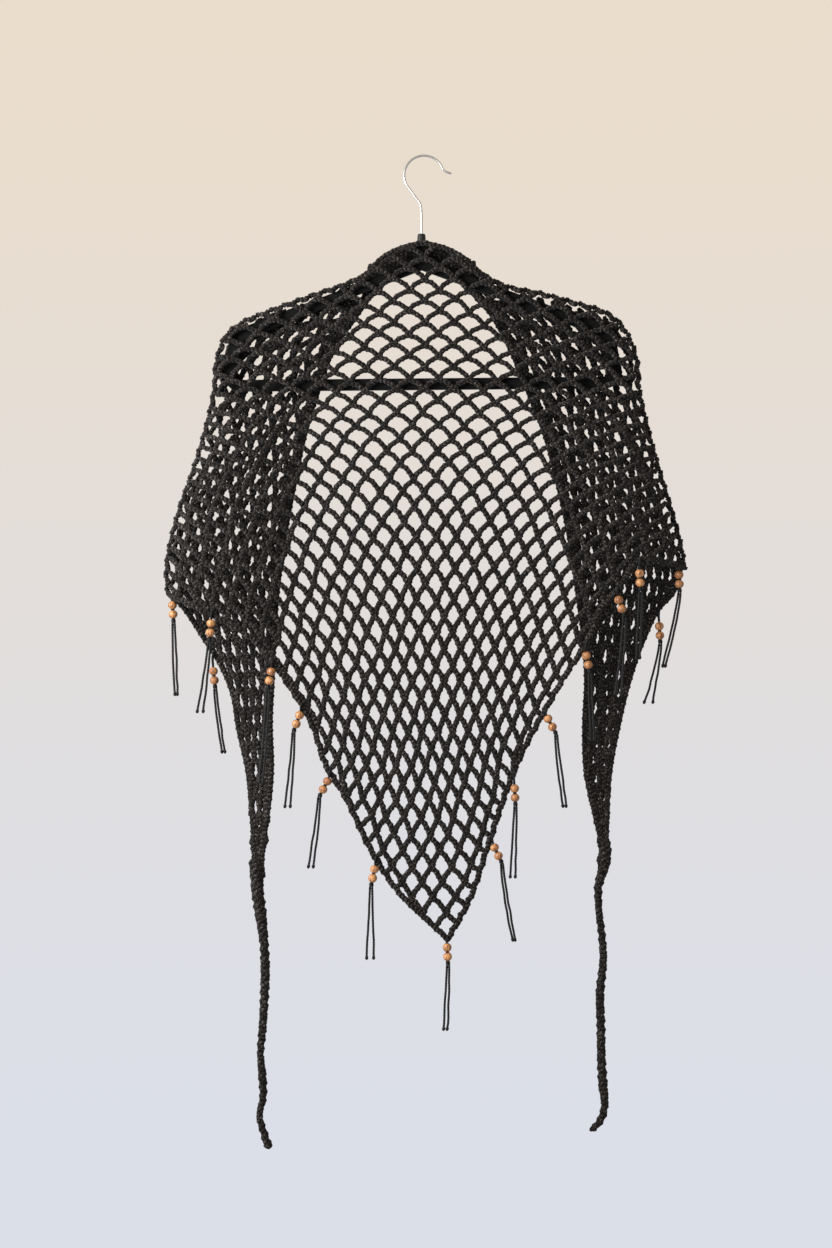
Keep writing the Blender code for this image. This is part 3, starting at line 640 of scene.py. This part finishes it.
for side, first in (("left", 0), ("right", 3)):
    rows = np.array([row[first:first + 3] for row in TIES], dtype=float)
    rows = np.concatenate([[rows[0] + [0.0, TIE_TUCK, TIE_FLARE]], rows])
    hanging_y = float(layer_depth(rows[1:2, 0], rows[1:2, 1], 1)[0])
    route = evenly(rows[:, :2], TIE_STEP)
    run = path_lengths(route)
    width = np.interp(run, path_lengths(rows[:, :2]), rows[:, 2])
    swept = []
    for ply in range(3):
        angle = 2 * math.pi * (run / TIE_LAY + ply / 3.0)
        radius = width * PLY_OFFSET
        places = route + np.stack([np.cos(angle) * radius, np.zeros_like(run)], axis=1)
        points = world(places, hanging_y + np.sin(angle) * radius)[::2]
        swept.append(sweep(points, facing_back(points), width[::2] * PLY_HALF_WIDTH,
                           width[::2] * PLY_HALF_DEPTH))
    ties[side] = strands_to_piece(side + "_tie_rope", swept)
    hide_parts(side + "_tie")

# %% [markdown]
# ## Beads
#
# Two turned beads are threaded on each doubled cord, with a knot below them. The bead is a
# sphere whose poles are cut off and joined by a bore, modelled once and copied to its places.
# Its place is found by moving it down until it just clears the hem, as a threaded bead stops.

# %% Where each tassel hangs
BEAD_RADIUS = 4.75
BEAD_BORE = 1.95
FIRST_DROP = 0.2      # the search starts this share of a radius below the hem
DROP_STEP = 0.2
BEAD_GAP = 0.2
KNOT_GAP = 0.4
SEAM = 0.3
KNOT_HALF_HEIGHT = 1.6
HEM_PLAY = 0.3
HEM_PLAY_TURNED = 1.6
TURNED_HEM_X = 195.0
# Edge, x, lean of the beads, drift, drop and spread of the tails
TASSELS = [
    ("body_left", -263.5, 0.6, 3.0, 86, 2.6), ("body_left", -220.0, -1.0, -10.0, 84, 6.0),
    ("fall_left", -223.0, 1.0, 9.0, 78, 2.6), ("body_left", -157.0, -2.0, -7.0, 108, 3.4),
    ("body_left", -127.0, -3.4, -6.5, 89, 5.4), ("body_left", -97.0, -4.6, -9.0, 84, 5.0),
    ("body_left", -48.5, -2.0, -1.0, 86, 8.5), ("body_left", 27.0, 0.5, -2.6, 78, 4.0),
    ("body_right", 75.0, 4.2, 13.0, 91, 2.8), ("body_right", 98.0, 0.5, -3.0, 85, 5.0),
    ("body_right", 131.0, 4.6, 9.5, 86, 4.0), ("body_right", 172.0, 2.0, 3.0, 80, 3.0),
    ("body_right", 205.0, 3.3, -7.0, 91, 5.4), ("body_right", 228.0, 0.5, -3.0, 80, 3.0),
    ("body_right", 272.0, 0.3, -17.0, 88, 2.8), ("fall_right", 254.0, 0.6, -13.0, 73, 9.0),
]
BODY_COLUMNS = 20
CLOSE_SAMPLES = 601


def edge_line(edge):
    """The cloth's lower edge that a tassel hangs from, as close places in x, y and z."""
    part, side = edge.split("_")
    if part == "body":
        flat = along(body_hem[side], np.linspace(0.0, 1.0, BODY_COLUMNS + 1))
        depth = layer_depth(flat[:, 0], flat[:, 1], -1)
    else:
        flat = fall_rim(side)
        flat = flat[flat[:, 1] <= fall_hem[side][0][1]]
        depth = layer_depth(flat[:, 0], flat[:, 1], 1)
    places = np.stack([flat[:, 0], depth, flat[:, 1]], axis=1)
    stations = np.arange(len(places), dtype=float)
    close = np.linspace(0.0, len(places) - 1, CLOSE_SAMPLES)
    return np.stack([np.interp(close, stations, places[:, k]) for k in range(3)], axis=1)


def clear_of_line(place, line, reach):
    return np.linalg.norm(line[:, [0, 2]] - place, axis=1).min() >= reach


def tassel_places(edge, x, lean):
    """Where a tassel's hem, beads and knot are, and which way the beads lean."""
    line = edge_line(edge)
    index = int(np.argmin(np.abs(line[:, 0] - x)))
    hem = line[index][[0, 2]]
    turned = edge.startswith("fall") or abs(hem[0]) > TURNED_HEM_X
    margin = SEAM + (HEM_PLAY_TURNED if turned else HEM_PLAY)
    step = 2 * BEAD_RADIUS + SEAM
    axis = np.array([lean, -math.sqrt(step**2 - lean**2)]) / step
    drop = BEAD_RADIUS * FIRST_DROP
    while True:
        upper = hem + np.array([0.0, -drop]) + axis * (BEAD_RADIUS + BEAD_GAP)
        lower = upper + axis * step
        if all(clear_of_line(place, line, BEAD_RADIUS + margin) for place in (upper, lower)):
            break
        drop += DROP_STEP
    knot = lower + axis * (BEAD_RADIUS + KNOT_HALF_HEIGHT + KNOT_GAP)
    return hem, float(line[index][1]), axis, upper, lower, knot


layouts = [tassel_places(*row[:3]) for row in TASSELS]
print("tassels to hang:", len(layouts))

# %% Model one bead and thread the copies
BEAD_SQUASH = (0.93, 1.0)     # no two turned beads are quite as long
BEAD_CREASE = math.radians(40)


def deselect_all():
    for one in bpy.context.scene.objects:
        one.select_set(False)


def first_bead():
    deselect_all()
    bpy.ops.mesh.primitive_uv_sphere_add(segments=20, ring_count=14, radius=BEAD_RADIUS * MM)
    bead = bpy.context.active_object
    cut = math.sqrt(BEAD_RADIUS**2 - BEAD_BORE**2) * MM
    bpy.ops.object.mode_set(mode="EDIT")
    bpy.ops.mesh.select_all(action="DESELECT")
    bpy.ops.object.mode_set(mode="OBJECT")
    for vertex in bead.data.vertices:
        vertex.select = abs(vertex.co.z) > cut
    bpy.ops.object.mode_set(mode="EDIT")
    bpy.ops.mesh.select_mode(type="VERT")
    bpy.ops.mesh.delete(type="VERT")
    bpy.ops.mesh.select_all(action="SELECT")
    bpy.ops.mesh.region_to_loop()
    bpy.ops.mesh.bridge_edge_loops()
    bpy.ops.mesh.select_all(action="SELECT")
    bpy.ops.mesh.normals_make_consistent(inside=False)
    bpy.ops.object.mode_set(mode="OBJECT")
    return bead


bead = first_bead()
copies = []
for hem, y, axis, upper, lower, knot in layouts:
    for centre in (upper, lower):
        copy = bpy.data.objects.new("bead_copy", bead.data.copy())
        bpy.context.scene.collection.objects.link(copy)
        spin = Matrix.Rotation(float(rng.uniform(0, 2 * math.pi)), 4, "Z")
        lean = Matrix.Rotation(-math.atan2(axis[0], -axis[1]), 4, "Y")
        squash = Matrix.Diagonal((1.0, 1.0, float(rng.uniform(*BEAD_SQUASH)), 1.0))
        place = Matrix.Translation(Vector(((centre[0] + NECK_X) * MM, y * MM, centre[1] * MM)))
        copy.data.transform(place @ lean @ spin @ squash)
        copies.append(copy)
bpy.data.objects.remove(bead, do_unlink=True)
deselect_all()
for copy in copies:
    copy.select_set(True)
bpy.context.view_layer.objects.active = copies[0]
bpy.ops.object.join()
beads = bpy.context.active_object
beads.name = "wooden_beads"
beads.data.name = "wooden_beads"
bpy.ops.object.shade_smooth_by_angle(angle=BEAD_CREASE)
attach(beads, "root")
bead_nodes = [f"bead_{number:02d}_{place}" for number in range(1, len(TASSELS) + 1)
              for place in ("upper", "lower")]
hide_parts(*bead_nodes)
print("beads joined:", len(copies), "with", len(beads.data.polygons), "faces")


# %% [markdown]
# ## The cords
#
# A tassel's cord passes over the hem's chain and down both sides of it, through the beads, and
# ends in two free tails under a knot. A curve with a bevel would do for one cord. Here they are
# swept as the chains are, round and thin, so that one material can wind its plies on them all.

# %% The doubled cords
CORD_RADIUS = 1.2
CORD_APART = 0.7
CORD_LOOP = 3.3
CORD_RISE = 2.4       # the hem's chain lies this far above the hem's line
CORD_STEP = 1.4
CORD_TURN = 1.6       # one turn of its plies
RUNS_BACK = 0.8       # a cord that heads this much front to back faces sideways
LOOP_SKEW = 0.6
LOOP_PAST = 0.5       # radians that the loop turns past level on each side
LOOP_POINTS = 9
TAIL_POINTS = 9
TAIL_APART = 1.15
TAIL_BULGE = 0.5
TAIL_WANDER = 0.35
TAIL_SWELL = 1.45     # the tail's end is frayed wider
COIL_TURNS = 2.2
COIL_RADIUS = 1.5
COIL_HEIGHT = 3.0
COIL_POINTS = 26


def round_cord(points, swell=None):
    """A thin round cord through places in millimetres, close enough to bend smoothly."""
    points = evenly(np.array(points, dtype=float), CORD_STEP)
    facing = facing_back(points)
    heading = np.gradient(points, axis=0)
    steep = np.abs(heading[:, 1]) > RUNS_BACK * np.linalg.norm(heading, axis=1)
    facing[steep] = [1.0, 0.0, 0.0]
    rings, marks = sweep((points + [NECK_X, 0.0, 0.0]) * MM, facing, CORD_RADIUS, CORD_RADIUS,
                         stitch=CORD_TURN, lump=0.05, lean=0.05)
    if swell:
        middle = rings.mean(axis=1, keepdims=True)
        rings[-3:-1] = middle[-3:-1] + (rings[-3:-1] - middle[-3:-1]) * swell
    return rings, marks


def over_the_hem(hem, y, top):
    """The folded cord's middle, from the bead's mouth over the hem's chain and back."""
    arc = [(hem[0] + math.sin(a) * LOOP_SKEW, y - CORD_LOOP * math.cos(a),
            hem[1] + CORD_RISE + CORD_LOOP * math.sin(a))
           for a in np.linspace(-LOOP_PAST, math.pi + LOOP_PAST, LOOP_POINTS)]
    return [(top[0], y - LOOP_SKEW, top[1]), *arc, (top[0], y + LOOP_SKEW, top[1])]


def free_tail(foot, y, hand, drift, length, spread):
    """One loose end, which drifts, spreads and wanders more the lower it hangs."""
    wander = rng.normal(0.0, TAIL_WANDER, TAIL_POINTS)
    tail = []
    for number in range(TAIL_POINTS):
        t = number / (TAIL_POINTS - 1)
        apart = TAIL_APART + (spread / 2 - TAIL_APART) * t**2 + math.sin(math.pi * t) * TAIL_BULGE
        x = foot[0] + drift * t**1.3 + hand * max(apart, TAIL_APART)
        z = foot[1] - length * t
        tail.append((x + wander[number] * t, y + wander[-number] * t, z))
    return tail


def wound_knot(knot, y):
    """The knot as a short coil of cord round the two strands."""
    turns = np.linspace(0, COIL_TURNS * 2 * math.pi, COIL_POINTS)
    return [(knot[0] + COIL_RADIUS * math.cos(a), y + COIL_RADIUS * math.sin(a),
             knot[1] + COIL_HEIGHT / 2 - COIL_HEIGHT * k / (COIL_POINTS - 1))
            for k, a in enumerate(turns)]


cords = []
for row, (hem, y, axis, upper, lower, knot) in zip(TASSELS, layouts):
    drift, drop, spread = row[3:6]
    top = upper - axis * (BEAD_RADIUS - 1.0)
    foot = knot + axis * KNOT_HALF_HEIGHT
    length = drop - BEAD_RADIUS - 2 * KNOT_HALF_HEIGHT
    cords.append(round_cord(over_the_hem(hem, y, top)))
    for hand in (-1, 1):
        cords.append(round_cord([(place[0] + hand * CORD_APART, y, place[1])
                                 for place in (top, lower, knot)]))
        tail = free_tail(foot, y, hand, drift, length, spread)
        cords.append(round_cord(tail, swell=TAIL_SWELL))
    cords.append(round_cord(wound_knot(knot, y)))
tassel_cords = strands_to_piece("tassel_cords", cords)
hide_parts(*[f"tassel_cord_{n:02d}" for n in range(1, len(TASSELS) + 1)])

# %% [markdown]
# ## The hook
#
# The hanger's hook is one bent wire with a bright plated skin. Its solid has eight sides, which
# would show as flats in a mirror finish, so it is swept again along the same route with twenty
# sides, and its ends narrow before they close.

# %% Sweep the wire
HOOK_RADIUS = 21.0
WIRE_RADIUS = 1.2
FERRULE_TOP_Z = -82.0
SHANK = [(0.0, FERRULE_TOP_Z - 5.7), (0.0, -70.0), (-0.2, -58.0), (-1.4, -50.0), (-6.0, -43.5)]
CROOK_ANGLES = (222.0, 18.0)                # degrees, from the shank round to the tip
TIP = [(23.2, 4.0), (29.0, 2.0)]            # from the middle of the crook
crook = np.array([-NECK_X, WIRE_RADIUS - HOOK_RADIUS])
route = list(SHANK)
for angle in np.radians(np.linspace(*CROOK_ANGLES, 21)):
    route.append(tuple(crook + HOOK_RADIUS * np.array([math.cos(angle), math.sin(angle)])))
route += [(crook[0] + x, crook[1] + z) for x, z in TIP]
flat = evenly(np.array(route), 1.0)
wire = sweep(world(flat, np.zeros(len(flat))), facing_back(flat), WIRE_RADIUS, WIRE_RADIUS,
             sides=20, lump=0.0, lean=0.0)
hook = strands_to_piece("wire_hook", [wire])
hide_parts("hanger_hook")

# %% [markdown]
# ## Yarn, flock, wood, cord and metal
#
# The yarn is a soft charcoal mix: nearly black fibres with paler grey ones among them, which
# catch the light as small flecks. Two node groups make the effects that several materials
# share. Flecks mixes two tones by fine noise in object space, and Plies reads the strand
# attribute to wind its twist round each strand. Plies also gives painted shade: the yarn's
# colour is darkened in the grooves between the plies and at the waists between the stitches.

# %% Shader helpers
def new_group(name, inputs, outputs):
    """A shader node group with named sockets."""
    group = bpy.data.node_groups.new(name, "ShaderNodeTree")
    for label, kind, value in inputs:
        socket = group.interface.new_socket(name=label, in_out="INPUT", socket_type=kind)
        socket.default_value = value
    for label, kind in outputs:
        group.interface.new_socket(name=label, in_out="OUTPUT", socket_type=kind)
    entry = group.nodes.new("NodeGroupInput")
    leave = group.nodes.new("NodeGroupOutput")
    return group, entry, leave


def feed(tree, socket, value):
    """Give a socket a number or a colour, or link it to another node's output."""
    if isinstance(value, (int, float)):
        socket.default_value = value
    elif isinstance(value, tuple):
        socket.default_value = (*value, 1.0)
    else:
        tree.links.new(value, socket)


def set_inputs(tree, node, **values):
    """Feed a node's sockets by their names, with _ for a space."""
    for label, value in values.items():
        feed(tree, node.inputs[label.replace("_", " ")], value)


def add_math(tree, operation, *values):
    node = tree.nodes.new("ShaderNodeMath")
    node.operation = operation
    for socket, value in zip(node.inputs, values):
        feed(tree, socket, value)
    return node.outputs[0]


def add_noise(tree, vector, scale, detail=3.0, roughness=0.55):
    node = tree.nodes.new("ShaderNodeTexNoise")
    set_inputs(tree, node, Vector=vector, Scale=scale, Detail=detail, Roughness=roughness)
    return node.outputs["Fac"]


def add_range(tree, value, low, high, to_low=0.0, to_high=1.0):
    node = tree.nodes.new("ShaderNodeMapRange")
    node.interpolation_type = "SMOOTHSTEP"
    set_inputs(tree, node, Value=value, From_Min=low, From_Max=high, To_Min=to_low,
               To_Max=to_high)
    return node.outputs["Result"]


def add_tone(tree, factor, first, second, blend="MIX"):
    """Two colours mixed. A Mix node's colour sockets share their names with its float ones."""
    node = tree.nodes.new("ShaderNodeMix")
    node.data_type = "RGBA"
    node.blend_type = blend
    colours = [socket for socket in node.inputs if socket.type == "RGBA"]
    factors = [socket for socket in node.inputs if socket.type == "VALUE"]
    for socket, value in ((factors[0], factor), (colours[0], first), (colours[1], second)):
        feed(tree, socket, value)
    return [socket for socket in node.outputs if socket.type == "RGBA"][0]


# %% Two shared effects
flecks, entry, leave = new_group(
    "Flecks",
    [("Dark", "NodeSocketColor", (0.01, 0.01, 0.01, 1.0)),
     ("Pale", "NodeSocketColor", (0.1, 0.1, 0.1, 1.0)),
     ("Fibre Scale", "NodeSocketFloat", 620.0),
     ("Patch Scale", "NodeSocketFloat", 110.0),
     ("Share", "NodeSocketFloat", 0.5)],
    [("Color", "NodeSocketColor"), ("Height", "NodeSocketFloat")])
place = flecks.nodes.new("ShaderNodeTexCoord").outputs["Object"]
fibres = add_noise(flecks, place, entry.outputs["Fibre Scale"], detail=2.0, roughness=0.6)
patches = add_noise(flecks, place, entry.outputs["Patch Scale"], detail=2.0)
paler = add_math(flecks, "MULTIPLY", add_range(flecks, fibres, 0.46, 0.66),
                 add_range(flecks, patches, 0.35, 0.65, 0.3, 1.0))
mask = add_math(flecks, "MULTIPLY", paler, entry.outputs["Share"])
mixed = add_tone(flecks, mask, entry.outputs["Dark"], entry.outputs["Pale"])
set_inputs(flecks, leave, Color=mixed, Height=fibres)

# Plies gives painted shade. Its Waist output darkens the crevices at the waists between the
# stitches. Where a material multiplies its Groove output into a colour, that output darkens the
# grooves between the plies.
plies, entry, leave = new_group(
    "Plies",
    [("Turns", "NodeSocketFloat", 2.0), ("Waist Depth", "NodeSocketFloat", 0.5)],
    [("Groove", "NodeSocketFloat"), ("Waist", "NodeSocketFloat")])
strand = plies.nodes.new("ShaderNodeAttribute")
strand.attribute_type = "GEOMETRY"
strand.attribute_name = "strand"
parts = plies.nodes.new("ShaderNodeSeparateXYZ")
set_inputs(plies, parts, Vector=strand.outputs["Vector"])
angle = add_math(plies, "ARCTAN2", parts.outputs["Y"], parts.outputs["X"])
along_strand = add_math(plies, "MULTIPLY", parts.outputs["Z"], 2 * math.pi)
wound = add_math(plies, "ADD", add_math(plies, "MULTIPLY", angle, 2.0),
                 add_math(plies, "MULTIPLY", along_strand, entry.outputs["Turns"]))
groove = add_range(plies, add_math(plies, "SINE", wound), -1.0, 1.0)
# Painted shade: the crevices at the waists between the stitches get a darker value here.
waist = add_range(plies, add_math(plies, "COSINE", along_strand), -1.0, 0.2)
shaded = add_math(plies, "MULTIPLY", add_math(plies, "SUBTRACT", 1.0, waist),
                  entry.outputs["Waist Depth"])
set_inputs(plies, leave, Groove=groove, Waist=add_math(plies, "SUBTRACT", 1.0, shaded))
print("shared effects:", flecks.name, "and", plies.name)


# %% Materials from the shared effects
def new_material(name):
    material = bpy.data.materials.new(name)
    material.use_nodes = True
    tree = material.node_tree
    return material, tree, tree.nodes["Principled BSDF"]


def use_group(tree, group, **values):
    node = tree.nodes.new("ShaderNodeGroup")
    node.node_tree = group
    set_inputs(tree, node, **values)
    return node


def add_bump(tree, shader, height, distance, strength):
    bump = tree.nodes.new("ShaderNodeBump")
    set_inputs(tree, bump, Height=height, Distance=distance, Strength=strength)
    set_inputs(tree, shader, Normal=bump.outputs["Normal"])


def yarn_material(name, dark, pale, share, turns, waist_shade, roughness, relief, sheen):
    """Spun thread wound round its strand: crocheted yarn, or waxed cord with finer turns."""
    material, tree, shader = new_material(name)
    mixed = use_group(tree, flecks, Dark=dark, Pale=pale, Share=share)
    wound = use_group(tree, plies, Turns=turns, Waist_Depth=waist_shade)
    # Painted shade: the colour is darkened in the grooves between the plies and at the waists
    # between the stitches. The same grooves also give the bump below.
    groove_shade = add_range(tree, wound.outputs["Groove"], 0.0, 1.0, 0.62, 1.0)
    shade = add_math(tree, "MULTIPLY", groove_shade, wound.outputs["Waist"])
    colour = add_tone(tree, 1.0, mixed.outputs["Color"], shade, blend="MULTIPLY")
    set_inputs(tree, shader, Base_Color=colour, Roughness=roughness, Specular_IOR_Level=0.12,
               Sheen_Weight=sheen, Sheen_Roughness=0.45, Sheen_Tint=(0.75, 0.74, 0.74))
    height = add_math(tree, "ADD", wound.outputs["Groove"],
                      add_math(tree, "MULTIPLY", mixed.outputs["Height"], 1.4))
    add_bump(tree, shader, height, relief, 0.7)
    return material


yarn = yarn_material("Charcoal heathered yarn", (0.0050, 0.0042, 0.0038), (0.114, 0.101, 0.095),
                     share=0.72, turns=1.0, waist_shade=0.65, roughness=0.92, relief=0.0008,
                     sheen=0.06)
cord_black = yarn_material("Waxed black cord", (0.006, 0.006, 0.007), (0.032, 0.032, 0.034),
                           share=0.35, turns=1.0, waist_shade=0.2, roughness=0.5,
                           relief=0.0002, sheen=0.05)

# %% [markdown]
# ## Wood, flock, plastic and plated wire
#
# A turned bead shows stretched grain and differs a little from its neighbour, so a fine noise
# and a broad one mix its tones. The flock, the plastic and the wire are nearly even, and fine
# noise keeps them from looking flat.

# %% Wood, flock, plastic and chrome
wood, tree, shader = new_material("Turned bead wood")
place = tree.nodes.new("ShaderNodeTexCoord").outputs["Object"]
stretch = tree.nodes.new("ShaderNodeMapping")
stretch.inputs["Scale"].default_value = (1.0, 1.0, 0.22)
stretch.inputs["Rotation"].default_value = (0.35, 0.5, 0.0)
set_inputs(tree, stretch, Vector=place)
grain = add_noise(tree, stretch.outputs["Vector"], 620.0, detail=3.0, roughness=0.6)
each = add_noise(tree, place, 55.0, detail=0.0)
pale_wood = add_tone(tree, add_range(tree, each, 0.35, 0.65), (0.40, 0.19, 0.068),
                     (0.27, 0.112, 0.036))
dark_grain = add_tone(tree, add_range(tree, grain, 0.42, 0.62, 0.0, 0.9), pale_wood,
                      (0.10, 0.034, 0.012))
set_inputs(tree, shader, Base_Color=dark_grain,
           Roughness=add_range(tree, grain, 0.3, 0.7, 0.38, 0.62))
add_bump(tree, shader, grain, 0.0003, 0.5)

flock, tree, shader = new_material("Black flock")
mixed = use_group(tree, flecks, Dark=(0.003, 0.003, 0.003), Pale=(0.012, 0.011, 0.011),
                  Fibre_Scale=2600.0, Patch_Scale=90.0, Share=0.6)
set_inputs(tree, shader, Base_Color=mixed.outputs["Color"], Roughness=0.98,
           Specular_IOR_Level=0.08, Sheen_Weight=0.06)
add_bump(tree, shader, mixed.outputs["Height"], 0.0004, 0.8)

plastic, tree, shader = new_material("Moulded black plastic")
mixed = use_group(tree, flecks, Dark=(0.005, 0.005, 0.005), Pale=(0.012, 0.012, 0.012),
                  Fibre_Scale=1500.0, Patch_Scale=200.0, Share=0.7)
set_inputs(tree, shader, Base_Color=mixed.outputs["Color"], Roughness=0.5,
           Specular_IOR_Level=0.25)
add_bump(tree, shader, mixed.outputs["Height"], 0.0001, 0.4)

chrome, tree, shader = new_material("Bright plated wire")
place = tree.nodes.new("ShaderNodeTexCoord").outputs["Object"]
drawn = add_noise(tree, place, 700.0, detail=3.0)
plating = add_tone(tree, add_range(tree, drawn, 0.35, 0.65), (0.46, 0.455, 0.45),
                   (0.34, 0.335, 0.33))
set_inputs(tree, shader, Base_Color=plating, Metallic=1.0,
           Roughness=add_range(tree, drawn, 0.3, 0.7, 0.32, 0.38))


def dress(piece, material):
    piece.data.materials.clear()
    piece.data.materials.append(material)


def redress_node(name, material):
    """A CAD node keeps its mesh and gets a better finish in its own slots."""
    for slot in bpy.data.objects[name].material_slots:
        slot.material = material


for piece in (body_net, *fall_nets.values(), neck_band, hem_edging, *ties.values()):
    dress(piece, yarn)
dress(beads, wood)
dress(tassel_cords, cord_black)
dress(hook, chrome)
redress_node("hanger_frame", flock)
redress_node("hanger_ferrule", plastic)
print("materials:", [material.name for material in bpy.data.materials])

# %% [markdown]
# ## Cut sizes
#
# Each net is a sheet of cloth that was worked flat. Its flat area follows from the chain in it:
# so many arches, each with the room that it takes when the net lies loose. The edging, the
# band, the beads and the cords hang on the front net, and each tie on its own fall.

# %% Say what was cut
RELAXED_PITCH = 22.0  # how far apart the knots are when the net lies flat and loose


def cut_area(length):
    """The flat area of a net with this length of arches in it, in square metres."""
    arches = length / (2 * ARCH_LEG)
    return arches * RELAXED_PITCH * float(half_row(RELAXED_PITCH)) * MM * MM


for part, length in net_length.items():
    print(part, "has", round(length * MM, 1), "m of arches, cut area", round(cut_area(length), 3))

# %% [markdown]
# ## Floor, light and camera
#
# The shawl hangs free, so nothing stands behind it. A pale floor lies below the ties, broad
# soft lights come from the upper left and the front, and the camera looks level at its middle
# from the distance that gives the photograph's perspective.

# %% The floor and the world
FLOOR_MIDDLE = (0.0, -0.33, -1.25)
FLOOR_RADIUS = 0.62
deselect_all()
bpy.ops.mesh.primitive_circle_add(vertices=96, radius=FLOOR_RADIUS, fill_type="NGON",
                                  location=FLOOR_MIDDLE)
floor = bpy.context.active_object
floor.name = "pale_floor"
bpy.ops.object.transform_apply(location=True, rotation=True, scale=True)
floor_paint, tree, shader = new_material("Pale floor")
mixed = use_group(tree, flecks, Dark=(0.41, 0.40, 0.39), Pale=(0.43, 0.42, 0.41),
                  Fibre_Scale=400.0, Patch_Scale=30.0, Share=0.8)
set_inputs(tree, shader, Base_Color=mixed.outputs["Color"], Roughness=0.8)
dress(floor, floor_paint)

world_light = bpy.data.worlds.new("Pale room")
bpy.context.scene.world = world_light
world_light.use_nodes = True
tree = world_light.node_tree
place = tree.nodes.new("ShaderNodeTexCoord").outputs["Generated"]
heights = tree.nodes.new("ShaderNodeSeparateXYZ")
set_inputs(tree, heights, Vector=place)
up = add_range(tree, heights.outputs["Z"], -0.3, 0.36)
set_inputs(tree, tree.nodes["Background"], Strength=0.92,
           Color=add_tone(tree, up, (0.77, 0.80, 0.88), (0.90, 0.78, 0.64)))
print("floor", FLOOR_RADIUS * 2, "m across at height", FLOOR_MIDDLE[2])

# %% Lights and camera
CAMERA_PLACE = (-0.0085, -2.2, -0.495)
LENS = 59.9
PHOTO_SIZE = (832, 1248)


def soft_light(name, place, aim, width, power, colour):
    lamp = bpy.data.lights.new(name, "AREA")
    lamp.shape = "RECTANGLE"
    lamp.size = width
    lamp.size_y = width
    lamp.energy = power
    lamp.color = colour
    holder = bpy.data.objects.new(name, lamp)
    bpy.context.scene.collection.objects.link(holder)
    holder.location = place
    holder.rotation_euler = (Vector(aim) - Vector(place)).to_track_quat("-Z", "Y").to_euler()


soft_light("window_left", (-1.05, -0.75, -0.1), (-0.25, 0.0, -0.5), 0.7, 46.0, (1.0, 0.985, 0.97))
soft_light("room_front", (-0.3, -2.6, -0.2), (0.0, 0.0, -0.55), 2.0, 2.0, (0.97, 0.98, 1.0))

lens = bpy.data.cameras.new("photo_view")
lens.sensor_fit = "AUTO"
lens.sensor_width = 36.0
lens.lens = LENS
camera = bpy.data.objects.new("photo_view", lens)
bpy.context.scene.collection.objects.link(camera)
camera.location = CAMERA_PLACE
camera.rotation_euler = (math.radians(90.0), 0.0, 0.0)
scene = bpy.context.scene
scene.camera = camera
scene.render.resolution_x, scene.render.resolution_y = PHOTO_SIZE
scene.view_settings.view_transform = "Standard"
print("camera", abs(CAMERA_PLACE[1]), "m in front, with a lens of", LENS, "mm")
